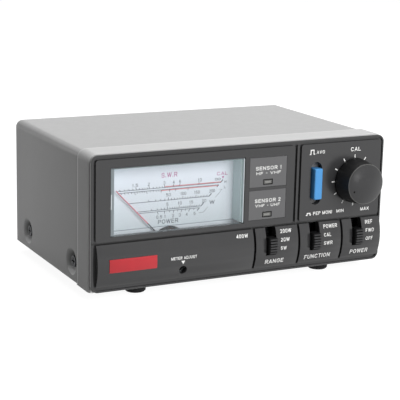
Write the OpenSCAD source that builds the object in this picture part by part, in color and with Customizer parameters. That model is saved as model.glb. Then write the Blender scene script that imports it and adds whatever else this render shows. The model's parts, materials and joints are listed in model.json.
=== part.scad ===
// Standing-wave and power meter for a radio station, in a steel case with coaxial sockets at the rear.
// Each module draws in case coordinates: X to the right, Y from the front face to the rear,
// Z up from the underside of the case. in_frame() then stands the whole object on its feet.

/* [Case] */
// Width of the steel cover
case_w = 154.8; // [151:0.2:190]
// Height of the steel cover
case_h = 63; // [62:0.5:80]
// Depth from the front face to the rear edge of the cover
case_d = 102.5; // [98:0.5:130]
// Thickness of the cover sheet
cover_t = 1; // [0.8:0.1:1.2]
// Thickness of the chassis sheet
chassis_t = 1.2; // [1:0.1:1.5]
// Outside radius of the bends of the cover
cover_r = 3.5; // [3:0.1:5]
// Depth of the flared front of the cover
flare_d = 17.5; // [12:0.5:18]
// Height of the flare above the cover
flare_step = 0.8; // [0.4:0.1:1]
// Outer diameter of the dimples for the cover screws
dimple_d = 13; // [11:0.5:14]
// Depth of the dimples
dimple_depth = 2.6; // [2:0.1:3]
// Height of the feet
foot_h = 5; // [4:0.1:8]
// Diameter of the feet
foot_d = 10; // [9:0.1:14]

/* [Front panel] */
// Thickness of the panel behind the flat pads
panel_t = 3; // [2.6:0.1:3.4]
// Radius of the corners of the panel
panel_r = 3.6; // [3:0.1:5]
// Depth of the grooves between the pads
groove_depth = 1.2; // [0.8:0.1:1.3]
// Width of the grooves between the pads
groove_w = 1.2; // [0.8:0.1:1.4]
// How far the lower pads bulge forward
bulge = 2.2; // [1.5:0.1:2.6]
// Height of the middle of the window, the key and the knob
deck_z = 41.9; // [41.5:0.1:43]

/* [Meter] */
// Width of the window
window_w = 68.2; // [55:0.2:69]
// Height of the window
window_h = 31.6; // [26:0.2:32]
// Depth of the dial behind the front face
dial_y = 9.8; // [9.4:0.1:11]
// Height of the needle pivot
pivot_z = 16.3; // [16:0.1:17]
// Swing of the needle from one end of the scale to the other, in degrees
needle_swing = 88; // [60:1:90]

/* [Controls] */
// Diameter of the knob at its base
knob_d = 22; // [20:0.2:26]
// How far the knob stands out of the front face
knob_out = 11.6; // [9:0.1:14]
// Diameter of the knob shaft
shaft_d = 6; // [4:0.1:6.4]
// Width of the slide levers
lever_w = 4.2; // [3.4:0.1:5]
// Height of the slide levers
lever_h = 7.8; // [6:0.1:8.4]
// Travel of the slide levers
lever_travel = 4; // [3:0.1:4.4]
// Distance between neighbouring slide levers
switch_pitch = 24.4; // [23:0.1:25]
// Width of the push key
key_w = 4.4; // [3.6:0.1:5.2]
// Height of the push key
key_h = 15.2; // [12:0.1:17]
// Travel of the push key
key_travel = 2.4; // [1.5:0.1:3]
// Width of the sensor plates
plate_w = 20; // [16:0.1:20.4]
// Height of the sensor plates
plate_h = 14.2; // [12:0.1:14.6]

/* [Rear] */
// Outside diameter of the socket barrels
barrel_d = 15.88; // [14:0.02:19.2]
// Length of the socket barrels
barrel_l = 11; // [9:0.5:14]
// Side of the square socket flange
flange_w = 25.4; // [24:0.1:28]
// Distance between the screws of a socket flange
flange_pitch = 18.26; // [17.5:0.02:20]
// Bore of the socket contacts
contact_bore = 4; // [3.8:0.05:4.2]
// Width of a coupler box
coupler_w = 62; // [60:0.5:64]
// Depth of a coupler box
coupler_d = 30; // [26:0.5:36]
// Bore of the DC jack
jack_bore = 5.6; // [5:0.1:6]

/* [Hidden] */
$fn = 64;

// Clearances
slip = 0.05;
fit_gap = 0.2;
move_gap = 0.4;
glue = 0.05;

// Case
half_w = case_w / 2;
lip_y = 1.7;
lip_r = 2.4;
jog = 0.8;
dimple_z = 8.8;
dimple_y = [25.7, case_d - 16.6];
dimple_floor_d = 7.2;
floor_z = 0.4;
floor_top = floor_z + chassis_t;
rear_recess = 1.4;
wall_out = case_d - rear_recess;
wall_in = wall_out - chassis_t;
wall_top = case_h - cover_t - move_gap;
chassis_half = half_w - cover_t - fit_gap;
flange_x = half_w - dimple_depth - cover_t;
flange_top = dimple_z + dimple_floor_d;
foot_x = half_w - 27.2;
foot_y = [13.5, case_d - 13];
foot_edge = 0.6;
foot_taper = 0.4;
screw_r = 1.5;
screw_head_r = 2.8;
screw_head_h = 1.6;

// Front panel
panel_w = case_w + 0.8;
panel_h = case_h + 0.4;
rim_w = 1;
rim_y = 0.5;
rim_round = 0.5;
spigot_half = half_w + flare_step - lip_r - fit_gap;
spigot_top = case_h + flare_step - lip_r - fit_gap;
spigot_low = 0.6;
pad_half = panel_w / 2 - 2;
pad_top = panel_h - 2.1;
pad_r = 1.2;
lower_over = 0.7;
split_z = 23.05;
lower_low = 2.8;
lower_top = split_z - groove_w / 2;
lower_mid = (lower_low + lower_top) / 2;
lower_half = (lower_top - lower_low) / 2;
bulge_r = (lower_half * lower_half + bulge * bulge) / (2 * bulge);
divider_x = half_w - 49.1;
divider_w = 1.2;
panel_screw_z = 4.6;
panel_head_r = 2.2;
panel_bite = 3.4;
tab_w = 4.8;
tab_y = panel_t + 1.4;
tab_top = 7.4;
badge_x = [-half_w + 7.4, -half_w + 31];
badge_z = [9.6, 15.8];
badge_t = 0.35;

// Meter
window_left = -half_w + 8.8;
window_x = window_left + window_w / 2;
window_z = deck_z - 0.3;
window_low = window_z - window_h / 2;
window_high = window_z + window_h / 2;
pivot_x = window_x - 0.6;
meter_x0 = window_left - 1.9;
meter_x1 = window_left + window_w + 1.9;
meter_z0 = 2.6;
meter_z1 = window_high + 2;
meter_y0 = panel_t + 0.4;
meter_y1 = 31;
meter_wall = 1.4;
meter_front_t = 1;
meter_back_t = 1.4;
shroud_t = 1;
shroud_y = 0.4;
pane_t = 1.4;
pane_seat = 0.5;
pane_left = 1.6;
dial_t = 0.8;
mask_t = 0.6;
mask_top = window_low + 0.1;
dial_notch_r = 9.4;
dial_edge = [meter_x0 + meter_wall + fit_gap, meter_x1 - meter_wall - fit_gap];
dial_low = meter_z0 + meter_wall + fit_gap;
ledge_w = 3;
scale_screw_x = [meter_x0 + meter_wall + ledge_w / 2, meter_x1 - meter_wall - ledge_w / 2];
ear_w = 4.8;
ear_z = [12, deck_z + 8];
ear_r = 1.2;
scale_screw_z = 14;
scale_screw_r = 0.6;
bridge_y = meter_y0 + meter_front_t;
bridge_t = 1.6;
bridge_r = 7.4;
bridge_drop = 3;
boss_r = 2;
boss_l = 0.8;
jewel_r = 1.2;
staff_r = 0.45;
staff_bore = staff_r + slip;
arm_y = bridge_y + bridge_t + 0.3;
arm_t = 0.5;
spring_y = arm_y + arm_t + 0.3;
spring_h = 0.5;
hub_y = dial_y - mask_t - 1.4;
hub_h = 0.8;
hub_r = 1.6;
needle_side_room = 6.6;
needle_top_room = 1.5;
needle_reach = (window_w / 2 - needle_side_room) / sin(needle_swing / 2);
needle_len = min(needle_reach, window_high - pivot_z - needle_top_room);
needle_tail = 7.5;
needle_half = [0.32, 0.16];
coil_y = [dial_y + 2.2, dial_y + 16.2];
coil_end = 1.2;
coil_r = [6.6, 8.2];
coil_half = 1;
core_r = 6.2;
core_y = [coil_y[0] + coil_end + move_gap, coil_y[1] - coil_end - move_gap];
yoke_r = [8.7, 10.6];
rear_bridge_y = coil_y[1] + 0.6;
zero_x = pivot_x + 2.3;
zero_z = 7;
zero_hole_r = 2;
zero_r = 1.5;
zero_flange_r = 2.2;
zero_pin_r = 0.4;
zero_throw = 0.7;
zero_reach = sqrt(pow(zero_x - pivot_x, 2) + pow(pivot_z - zero_z, 2));
zero_angle = atan2(zero_x - pivot_x, pivot_z - zero_z);
terminal_x = [meter_x0 + 14, meter_x1 - 14];
terminal_z = 12;
terminal_end = meter_y1 + meter_back_t + 6;
lamp_z = 47;
lamp_r = 2;

// Controls
switch_x = [for (i = [0:2]) half_w - 14.6 - (2 - i) * switch_pitch];
switch_groove = 8.95;
panel_screw_x = [-half_w + 4.4, meter_x1 + 8, switch_x[1] + switch_pitch / 2, half_w - 6];
slot_w = lever_w + 1.5;
slot_low = 9.2;
lever_low = slot_low + 0.9;
lever_out = bulge + 3;
lever_arch = 0.8;
lever_back = 1;
rib_count = 6;
rib_depth = 0.5;
stem_w = 2;
stem_h = 3;
switch_y = 8;
switch_w = 9;
switch_h = 14;
switch_wall = 1.2;
wiper_w = 4.6;
wiper_h = 4;
wiper_y = [switch_y + switch_wall + move_gap, switch_y + switch_wall + move_gap + 2];
board_y = 17;
board_t = 1.6;
board_x0 = divider_x - 25;
board_x1 = flange_x - chassis_t - 0.8;
board_z0 = 7.8;
board_z1 = deck_z + 18.2;
post_r = 2.8;
post_at = [for (i = [0:1], z = [15, deck_z + 15]) [switch_x[i] + switch_pitch / 2, z]];
pilot_r = 1.2;
knob_x = half_w - 16.8;
knob_back = 0.9;
knob_face_d = knob_d - 2.5;
knob_edge = 0.5;
knob_dome = 1.2;
knob_mark_angle = -116;
knob_mark_r = 7.5;
bush_r = shaft_d / 2 + 0.9;
bush_out = 2.6;
nut_r = bush_r + 2.2;
pot_r = 8;
pot_y = 11.5;
key_x = knob_x - 21.8;
key_out = 2.6;
key_r = 0.7;
key_slot_w = key_w + 1.7;
key_slot_h = key_h + 5.8;
key_flange_t = 1;
key_flange_y = panel_t + move_gap;
key_switch_y = 10;
key_switch_h = 9;
plunger_w = 3;
plunger_in = 2;
plate_x = divider_x - 16.3;
plate_z = [deck_z - 8.05, deck_z + 7.75];
plate_t = 0.4;
lamp_w = 4.3;
lamp_h = 1.8;
lamp_gap = 0.45;
lamp_drop = 4.8;
lamp_flange = 1;
lamp_depth = 6;

// Rear
socket_z = 30;
coupler_x = [-(coupler_w / 2 + 8), coupler_w / 2 + 8];
socket_spread = 18;
socket_x = [for (c = coupler_x, s = [-1, 1]) c + s * socket_spread];
flange_t = 1.6;
socket_end = wall_out + flange_t + barrel_l;
insulator_r = barrel_d / 2 - 1.8;
insulator_in = 6;
contact_r = contact_bore / 2 + 0.8;
contact_depth = 10;
contact_in = wall_in - 12;
coupler_wall = 2.5;
coupler_h = 28;
coupler_z0 = socket_z - coupler_h / 2;
coupler_z1 = socket_z + coupler_h / 2;
coupler_y0 = wall_in - coupler_d;
lid_t = 1.2;
rod_r = 1.6;
jack_r = jack_bore / 2 + 1.1;
jack_lip_r = jack_r + 1.6;
jack_lip_t = 1.2;
jack_body_r = jack_r + 1.2;
jack_in = wall_in - 12;
jack_depth = 9;
jack_pin_r = 1;
jack_nut_t = 2;

// Inner leads: routes from the control board, with their ends on the pieces that they join
lead_r = 0.9;
lead_sides = 8;
lead_steps = 4;
lead_start = board_y + board_t;
lead_hole_z = coupler_z0 + 9;
left_coupler_route = [
    [10, lead_start, 40], [10, lead_start + 8, 40], [8, 40, 38], [-4, 52, 32],
    [-26, 58, 27], [coupler_x[0], coupler_y0 - 8, lead_hole_z], [coupler_x[0], coupler_y0, lead_hole_z]
];
right_coupler_route = [
    [34, lead_start, 26], [34, lead_start + 8, 26], [36, 44, 25],
    [coupler_x[1], coupler_y0 - 8, lead_hole_z], [coupler_x[1], coupler_y0, lead_hole_z]
];
supply_route = [
    [18, lead_start, 50], [18, lead_start + 8, 50], [16, 44, 46], [6, 62, 36],
    [0, jack_in - 8, socket_z], [0, jack_in, socket_z]
];
meter_routes = [
    [[terminal_x[0], terminal_end, terminal_z], [terminal_x[0], terminal_end + 8, terminal_z], [-36, 54, 14],
     [-10, 52, 18], [8, 40, 22], [12, lead_start + 8, 24], [12, lead_start, 24]],
    [[terminal_x[1], terminal_end, terminal_z], [terminal_x[1], terminal_end + 6, terminal_z], [-8, 47, 12],
     [4, 42, 12], [16, lead_start + 8, 14], [16, lead_start, 14]]
];

// The object stands on its feet with its origin under the middle of its depth
mid_y = (socket_end - knob_out) / 2;
module in_frame() { translate([0, -mid_y, foot_h]) children(); }

// Drawing helpers
module slab(y0, y1) { translate([0, y1, 0]) rotate([90, 0, 0]) linear_extrude(y1 - y0) children(); }
module rod_y(r, y0, y1) { translate([0, y0, 0]) rotate([-90, 0, 0]) cylinder(r = r, h = y1 - y0); }
module at_xz(x, z) { translate([x, 0, z]) children(); }
module block(x, y, z) { translate([x[0], y[0], z[0]]) cube([x[1] - x[0], y[1] - y[0], z[1] - z[0]]); }
module both_sides() { children(); mirror([1, 0, 0]) children(); }

// Flat shape of a rectangle with round corners, centred
module rounded(w, h, r) {
    square([w - 2 * r, h], center = true);
    square([w, h - 2 * r], center = true);
    for (x = [-1, 1], y = [-1, 1]) translate([x * (w / 2 - r), y * (h / 2 - r)]) circle(r);
}

// Flat shape of an upright slot with round ends
module obround(w, h) {
    square([w, h - w], center = true);
    for (y = [-1, 1]) translate([0, y * (h - w) / 2]) circle(w / 2);
}

// One corner of a section that is drawn at its distance from the centre of the bend
module bend() { rotate([-90, 0, 0]) rotate([0, 0, -90]) rotate_extrude(angle = 90) children(); }

// A section run around a rectangle with round corners
module around(w, h, r) {
    for (k = [0:3]) {
        across = k % 2 == 0 ? w : h;
        along = k % 2 == 0 ? h : w;
        rotate([0, -90 * k, 0]) translate([across / 2 - r, 0, 0]) {
            translate([0, 0, r - along / 2]) linear_extrude(along - 2 * r) children();
            translate([0, 0, along / 2 - r]) bend() children();
        }
    }
}

// Screw along +Z with a cross recess in its head, which lies below the origin
module screw(length, r = screw_r, head_r = screw_head_r, head_h = screw_head_h) {
    difference() {
        union() {
            translate([0, 0, -head_h]) cylinder(r = head_r, h = head_h);
            cylinder(r = r, h = length);
        }
        for (a = [0, 90])
            rotate(a) translate([0, 0, -head_h]) cube([head_r * 1.2, head_r * 0.22, head_h], center = true);
    }
}
module screw_back() { rotate([-90, 0, 0]) children(); }
module screw_forward() { rotate([90, 0, 0]) children(); }

// Case
module cover_section() {
    translate([cover_r, 0]) {
        translate([-cover_t, flare_d]) square([cover_t, case_d - flare_d]);
        polygon([
            [0, flare_d], [-cover_t, flare_d],
            [flare_step - cover_t, flare_d - jog], [flare_step, flare_d - jog]
        ]);
        translate([flare_step - cover_t, lip_y + lip_r]) square([cover_t, flare_d - jog - lip_y - lip_r]);
        translate([flare_step - lip_r, lip_y + lip_r]) intersection() {
            difference() {
                circle(lip_r);
                circle(lip_r - cover_t);
            }
            translate([0, -lip_r]) square(lip_r);
        }
    }
}
module dimple(out) {
    slope = (dimple_d - dimple_floor_d) / 2 / dimple_depth;
    rim = dimple_d / 2 + (out ? cover_t * 0.4 : 0);
    depth = dimple_depth + (out ? cover_t : 0);
    for (y = dimple_y)
        translate([half_w, y, dimple_z]) rotate([0, -90, 0])
            cylinder(r1 = rim, r2 = rim - slope * dimple_depth, h = depth);
}
module dimple_holes(r) {
    for (y = dimple_y)
        translate([half_w, y, dimple_z]) rotate([0, -90, 0])
            cylinder(r = r, h = dimple_depth + cover_t + chassis_t + 1);
}
module top_cover() {
    color([0.6, 0.6, 0.6]) difference() {
        union() {
            translate([half_w - cover_r, 0, case_h - cover_r]) rotate([0, -90, 0])
                linear_extrude(case_w - 2 * cover_r) cover_section();
            both_sides() {
                translate([half_w - cover_r, 0, 0]) linear_extrude(case_h - cover_r) cover_section();
                translate([half_w - cover_r, 0, case_h - cover_r]) bend() cover_section();
                dimple(true);
            }
        }
        both_sides() {
            dimple(false);
            dimple_holes(screw_r + fit_gap);
        }
    }
}
module at_feet() { for (x = [-foot_x, foot_x], y = foot_y) translate([x, y, 0]) children(); }
module chassis() {
    color([0.42, 0.42, 0.43]) difference() {
        union() {
            block([-chassis_half, chassis_half], [tab_y, wall_in], [floor_z, floor_top]);
            at_xz(0, (floor_z + wall_top) / 2)
                slab(wall_in, wall_out) rounded(2 * chassis_half, wall_top - floor_z, cover_r - cover_t);
            both_sides()
                block([flange_x - chassis_t, flange_x], [dimple_y[0] - 12, wall_in], [floor_top, flange_top]);
            for (x = panel_screw_x)
                block([x - tab_w / 2, x + tab_w / 2], [tab_y, tab_y + chassis_t], [floor_top, tab_top]);
        }
        both_sides() dimple_holes(screw_r + slip);
        for (x = panel_screw_x)
            at_xz(x, panel_screw_z) rod_y(screw_r + fit_gap, tab_y - 1, tab_y + chassis_t + 1);
        at_feet() cylinder(r = screw_r + slip, h = floor_top + 1);
        for (x = socket_x) at_xz(x, socket_z) {
            rod_y(insulator_r + fit_gap, wall_in - 1, wall_out + 1);
            flange_holes(screw_r + fit_gap, wall_in - 1, wall_out + 1);
        }
        at_xz(0, socket_z) rod_y(jack_r + fit_gap, wall_in - 1, wall_out + 1);
    }
}
module cover_screws() {
    color([0.3, 0.3, 0.3]) both_sides() for (y = dimple_y)
        translate([half_w - dimple_depth, y, dimple_z]) rotate([0, -90, 0]) screw(cover_t + chassis_t + 1.4);
}
module panel_screws() {
    color("silver") for (x = panel_screw_x)
        translate([x, tab_y + chassis_t, panel_screw_z])
            screw_forward() screw(chassis_t + panel_bite, screw_r, panel_head_r);
}
module foot(x, y) {
    color([0.05, 0.05, 0.05]) translate([x, y, -foot_h]) difference() {
        union() {
            cylinder(r1 = foot_d / 2 - foot_edge, r2 = foot_d / 2, h = foot_edge);
            translate([0, 0, foot_edge])
                cylinder(r1 = foot_d / 2, r2 = foot_d / 2 + foot_taper, h = foot_h + floor_z - foot_edge);
        }
        translate([0, 0, -1]) cylinder(r = screw_head_r + fit_gap, h = foot_h / 2 + 1);
        cylinder(r = screw_r + slip, h = foot_h + 1);
    }
}
module foot_front_left() { foot(-foot_x, foot_y[0]); }
module foot_front_right() { foot(foot_x, foot_y[0]); }
module foot_rear_left() { foot(-foot_x, foot_y[1]); }
module foot_rear_right() { foot(foot_x, foot_y[1]); }
module foot_screws() {
    color("silver") at_feet() translate([0, 0, -foot_h / 2]) screw(foot_h / 2 + floor_top + 0.6);
}

// Front panel
module rim_section() {
    translate([panel_r, rim_y]) {
        translate([-rim_w, 0]) square([rim_w - rim_round, lip_y - rim_y]);
        translate([-rim_w, rim_round]) square([rim_w, lip_y - rim_y - rim_round]);
        translate([-rim_round, rim_round]) circle(rim_round);
    }
}
module bulged(out, back) {
    intersection() {
        slab(-bulge - out, back) children();
        translate([0, bulge_r - bulge, lower_mid]) rotate([0, 90, 0])
            cylinder(r = bulge_r + out, h = 2 * case_w, center = true);
    }
}
module flat_rect(x, z) { translate([x[0], z[0]]) square([x[1] - x[0], z[1] - z[0]]); }
module lower_pads() {
    grooves = [for (x = switch_x) x - switch_groove];
    lefts = concat([-pad_half + 0.2], [for (g = grooves) g + groove_w / 2]);
    rights = concat([for (g = grooves) g - groove_w / 2], [pad_half + lower_over]);
    bulged(0, groove_depth) for (i = [0:3]) flat_rect([lefts[i], rights[i]], [lower_low, lower_top]);
}
module upper_pads() {
    left = [-pad_half, divider_x - divider_w / 2 - groove_w];
    right = [divider_x + divider_w / 2 + groove_w, pad_half];
    low = split_z + groove_w / 2;
    slab(0, groove_depth) {
        for (p = [left, right])
            translate([(p[0] + p[1]) / 2, (low + pad_top) / 2]) rounded(p[1] - p[0], pad_top - low, pad_r);
        translate([divider_x, (low + pad_top) / 2]) rounded(divider_w, pad_top - low, divider_w / 3);
    }
}
module at_ears() {
    for (x = [meter_x0 - ear_w / 2, meter_x1 + ear_w / 2], z = ear_z) at_xz(x, z) children();
}
module front_panel() {
    through = [-bulge - 1, panel_t + 1];
    color([0.27, 0.27, 0.28]) difference() {
        union() {
            at_xz(0, panel_h / 2) {
                around(panel_w, panel_h, panel_r) rim_section();
                slab(groove_depth, lip_y) rounded(panel_w - rim_w, panel_h - rim_w, panel_r - rim_w / 2);
            }
            at_xz(0, (spigot_low + spigot_top) / 2)
                slab(lip_y, panel_t) rounded(2 * spigot_half, spigot_top - spigot_low, 2);
            upper_pads();
            lower_pads();
            for (x = panel_screw_x) at_xz(x, panel_screw_z) rod_y(tab_w / 2, panel_t, tab_y);
            for (p = post_at) at_xz(p[0], p[1]) rod_y(post_r, panel_t, board_y);
            at_ears() rod_y(ear_r + 1, panel_t, meter_y0);
        }
        slab(through[0], through[1])
            flat_rect([window_left, window_left + window_w], [window_low, window_high]);
        at_xz(key_x, deck_z) slab(through[0], through[1]) obround(key_slot_w, key_slot_h);
        for (x = switch_x)
            slab(through[0], through[1])
                flat_rect([x - slot_w / 2, x + slot_w / 2], [slot_low, lower_top + 0.1]);
        at_xz(knob_x, deck_z) rod_y(bush_r + fit_gap, through[0], through[1]);
        at_xz(zero_x, zero_z) rod_y(zero_hole_r, through[0], through[1]);
        for (z = plate_z) {
            at_xz(plate_x, z) slab(-1, plate_t) square([plate_w + fit_gap, plate_h + fit_gap], center = true);
            at_xz(plate_x, z - lamp_drop) slab(-1, through[1]) lamp_hole();
        }
        for (x = panel_screw_x)
            at_xz(x, panel_screw_z) rod_y(screw_r + slip, tab_y - panel_bite - 0.4, tab_y + 1);
        for (p = post_at) at_xz(p[0], p[1]) rod_y(pilot_r + slip, board_y - 6, board_y + 1);
        at_ears() rod_y(ear_r + slip, meter_y0 - 2.4, meter_y0 + 1);
    }
}
module badge_plate() {
    color([0.75, 0.15, 0.18]) difference() {
        bulged(glue + badge_t, 0) flat_rect(badge_x, badge_z);
        bulged(glue, 1) flat_rect([badge_x[0] - 1, badge_x[1] + 1], [badge_z[0] - 1, badge_z[1] + 1]);
    }
}

// Meter case and dial
module scale_holes(y0, y1) {
    for (x = scale_screw_x) at_xz(x, scale_screw_z) rod_y(scale_screw_r + slip, y0, y1);
}
module meter_case() {
    inner_x = [meter_x0 + meter_wall, meter_x1 - meter_wall];
    inner_z = [meter_z0 + meter_wall, meter_z1 - meter_wall];
    ears = [[meter_x0 - ear_w, meter_x0 + 0.1], [meter_x1 - 0.1, meter_x1 + ear_w]];
    color([0.75, 0.78, 0.8]) difference() {
        union() {
            difference() {
                block([meter_x0, meter_x1], [meter_y0, meter_y1], [meter_z0, meter_z1]);
                block(inner_x, [bridge_y, meter_y1 + 1], inner_z);
            }
            for (x = [[inner_x[0] - 0.1, inner_x[0] + ledge_w], [inner_x[1] - ledge_w, inner_x[1] + 0.1]])
                block(x, [dial_y + dial_t, dial_y + dial_t + 3], inner_z);
            for (e = ears, z = ear_z) block(e, [meter_y0, bridge_y + 0.6], [z - ear_w / 2, z + ear_w / 2]);
            for (x = [pivot_x - 5, pivot_x + 5])
                block([x - 1.5, x + 1.5], core_y, [inner_z[0] - 0.1, pivot_z - 7]);
        }
        slab(meter_y0 - 1, bridge_y + 0.5)
            flat_rect([window_left - 0.1, window_left + window_w + 0.1], [mask_top - 1, window_high + 0.1]);
        at_xz(zero_x, zero_z) rod_y(zero_r + slip, meter_y0 - 1, bridge_y + 1);
        at_xz(pivot_x, pivot_z) rod_y(yoke_r[1] + slip, core_y[0] - 1, core_y[1] + 1);
        at_ears() rod_y(ear_r + fit_gap, meter_y0 - 1, bridge_y + 2);
        scale_holes(dial_y, dial_y + dial_t + 4);
    }
}
module meter_back() {
    color([0.2, 0.2, 0.2]) difference() {
        block([meter_x0, meter_x1], [meter_y1, meter_y1 + meter_back_t], [meter_z0, meter_z1]);
        for (x = terminal_x)
            at_xz(x, terminal_z) rod_y(screw_r + slip, meter_y1 - 1, meter_y1 + meter_back_t + 1);
        at_xz(window_x, lamp_z) rod_y(lamp_r + 1 + slip, meter_y1 - 1, meter_y1 + meter_back_t + 1);
    }
}
module meter_screws() {
    color("silver") at_ears() translate([0, bridge_y + 0.6, 0]) screw_forward() screw(3.6, ear_r, 2.1, 1.2);
}
module meter_shroud() {
    outer = [window_left + fit_gap, window_left + window_w - fit_gap];
    top = window_high - fit_gap;
    below = window_low - 1;
    front = shroud_y - 1;
    inner = [outer[0] + pane_left + shroud_t - pane_seat, outer[1] - shroud_t];
    seat = [outer[0] + pane_left, outer[1] - pane_seat];
    color([0.62, 0.68, 0.7]) difference() {
        block(outer, [shroud_y, dial_y], [window_low + fit_gap, top]);
        block(inner, [front, dial_y + 1], [below, top - shroud_t]);
        block(seat, [front, shroud_y + pane_t + slip], [below, top - pane_seat]);
    }
}
module meter_window() {
    edge = fit_gap + pane_seat + slip;
    across = [window_left + fit_gap + pane_left + slip, window_left + window_w - edge];
    up = [window_low + slip, window_high - edge];
    color([0.85, 0.9, 0.92, 0.3]) block(across, [shroud_y, shroud_y + pane_t], up);
}
module scale_plate() {
    color([0.85, 0.87, 0.9]) difference() {
        slab(dial_y, dial_y + dial_t) flat_rect(dial_edge, [dial_low, meter_z1 - meter_wall - fit_gap]);
        at_xz(pivot_x, pivot_z) rod_y(dial_notch_r, dial_y - 1, dial_y + dial_t + 1);
        scale_holes(dial_y - 1, dial_y + dial_t + 1);
    }
}
module scale_mask() {
    color([0.88, 0.89, 0.9]) difference() {
        slab(dial_y - mask_t, dial_y) flat_rect(dial_edge, [dial_low, mask_top]);
        at_xz(pivot_x, pivot_z) rod_y(dial_notch_r, dial_y - mask_t - 1, dial_y + 1);
        scale_holes(dial_y - mask_t - 1, dial_y + 1);
    }
}
module scale_screws() {
    color("silver") for (x = scale_screw_x)
        translate([x, dial_y - mask_t, scale_screw_z])
            screw_back() screw(mask_t + dial_t + 2.4, scale_screw_r, 1.1, 0.6);
}

// Meter movement
module at_pivot() { translate([pivot_x, 0, pivot_z]) children(); }
module front_bridge() {
    color([0.3, 0.3, 0.3]) at_pivot() difference() {
        union() {
            intersection() {
                rod_y(bridge_r, bridge_y, bridge_y + bridge_t);
                block([-bridge_r, bridge_r], [bridge_y, bridge_y + bridge_t], [-bridge_drop, bridge_r]);
            }
            rod_y(boss_r, bridge_y, bridge_y + bridge_t + boss_l);
        }
        rod_y(jewel_r + slip, bridge_y - 1, bridge_y + bridge_t + boss_l + 1);
    }
}
module rear_bridge() {
    color([0.6, 0.58, 0.5]) at_pivot() difference() {
        union() {
            block([-yoke_r[1], yoke_r[1]], [rear_bridge_y, rear_bridge_y + 1.6], [-2.5, 2.5]);
            for (s = [-1, 1])
                block([s * 9.65 - 0.8, s * 9.65 + 0.8], [core_y[1], rear_bridge_y + 0.1], [-2.5, 2.5]);
        }
        rod_y(jewel_r + slip, rear_bridge_y - 1, rear_bridge_y + 3);
    }
}
module bearing_jewels() {
    front = [bridge_y + 0.4, bridge_y + bridge_t + boss_l];
    rear = [rear_bridge_y, rear_bridge_y + 2.4];
    color([0.7, 0.2, 0.4]) at_pivot() {
        difference() {
            rod_y(jewel_r, front[0], front[1]);
            rod_y(staff_bore, front[1] - 1, front[1] + 1);
        }
        difference() {
            rod_y(jewel_r, rear[0], rear[1]);
            rod_y(staff_bore, rear[0] - 1, rear[0] + 1);
        }
    }
}
module core_magnet() {
    color([0.35, 0.35, 0.38]) at_pivot() {
        rod_y(core_r, core_y[0], core_y[1]);
        intersection() {
            rod_y(yoke_r[0] - slip, core_y[0], core_y[1]);
            block([-1.5, 1.5], core_y, [-yoke_r[0], yoke_r[0]]);
        }
    }
}
module magnet_yoke() {
    color([0.5, 0.5, 0.5]) at_pivot() difference() {
        rod_y(yoke_r[1], core_y[0], core_y[1]);
        rod_y(yoke_r[0], core_y[0] - 1, core_y[1] + 1);
    }
}
module at_rest() { at_pivot() rotate([0, -needle_swing / 2, 0]) children(); }
module needle() {
    color([0.85, 0.25, 0.3]) at_rest() difference() {
        union() {
            rod_y(hub_r, hub_y, hub_y + hub_h);
            slab(hub_y + 0.2, hub_y + 0.6) polygon([
                [-needle_half[0], 0], [-needle_half[1], needle_len], [needle_half[1], needle_len],
                [needle_half[0], 0], [0.9, -needle_tail], [-0.9, -needle_tail]
            ]);
        }
        rod_y(staff_r, hub_y - 1, hub_y + hub_h + 1);
    }
}
module moving_coil() {
    inside = [coil_y[0] + coil_end, coil_y[1] - coil_end];
    color([0.7, 0.42, 0.2]) at_rest() difference() {
        block([-coil_r[1], coil_r[1]], coil_y, [-coil_half, coil_half]);
        block([-coil_r[0], coil_r[0]], inside, [-coil_half - 1, coil_half + 1]);
    }
}
module needle_pivots() {
    color("silver") at_pivot() {
        rod_y(staff_r, bridge_y + bridge_t + boss_l - 0.9, coil_y[0]);
        rod_y(staff_r, coil_y[1], rear_bridge_y + 0.9);
    }
}

// Flat spiral from the collet on the pivot to the pin of the zero arm
spring_turns = 4;
spring_r = [1.1, 4.1];
spring_t = 0.12;
spring_steps = 24;
function spiral(side) = [
    for (i = [0:spring_turns * spring_steps])
        let (a = 360 * i / spring_steps, grown = i / spring_turns / spring_steps)
        let (r = spring_r[0] + (spring_r[1] - spring_r[0]) * grown)
        (r + side * spring_t / 2) * [sin(a + zero_angle), -cos(a + zero_angle)]
];
function reversed(list) = [for (i = [len(list) - 1:-1:0]) list[i]];
module hairspring() {
    color([0.6, 0.5, 0.3]) at_pivot() {
        slab(spring_y, spring_y + spring_h) polygon(concat(spiral(1), reversed(spiral(-1))));
        difference() {
            rod_y(spring_r[0], spring_y, spring_y + spring_h);
            rod_y(staff_r, spring_y - 1, spring_y + spring_h + 1);
        }
    }
}
module at_zero() { translate([zero_x, 0, zero_z]) rotate([0, -zero_angle, 0]) children(); }
module zero_screw() {
    color([0.15, 0.15, 0.15]) at_zero() difference() {
        union() {
            rod_y(zero_r, panel_t - 0.4, bridge_y + 0.3);
            rod_y(zero_flange_r, bridge_y + slip, bridge_y + 1);
            at_xz(0, -zero_throw) rod_y(zero_pin_r, bridge_y + 0.5, arm_y + arm_t + 0.2);
        }
        block([-zero_r - 1, zero_r + 1], [panel_t - 1, panel_t + 0.3], [-0.3, 0.3]);
    }
}
module zero_arm() {
    tip = -zero_reach - zero_throw;
    color([0.7, 0.6, 0.35]) at_pivot() rotate([0, -zero_angle, 0]) difference() {
        union() {
            rod_y(boss_r + 1.2, arm_y, arm_y + arm_t);
            slab(arm_y, arm_y + arm_t) flat_rect([-1, 1], [tip - 1.2, -boss_r]);
            at_xz(0, -spring_r[1] - 0.4) rod_y(0.25, arm_y, spring_y + spring_h);
        }
        rod_y(boss_r + slip, arm_y - 1, arm_y + arm_t + 1);
        slab(arm_y - 1, arm_y + arm_t + 1)
            flat_rect([-zero_pin_r - slip, zero_pin_r + slip], [tip - 2, -zero_reach + 0.2]);
    }
}
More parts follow.
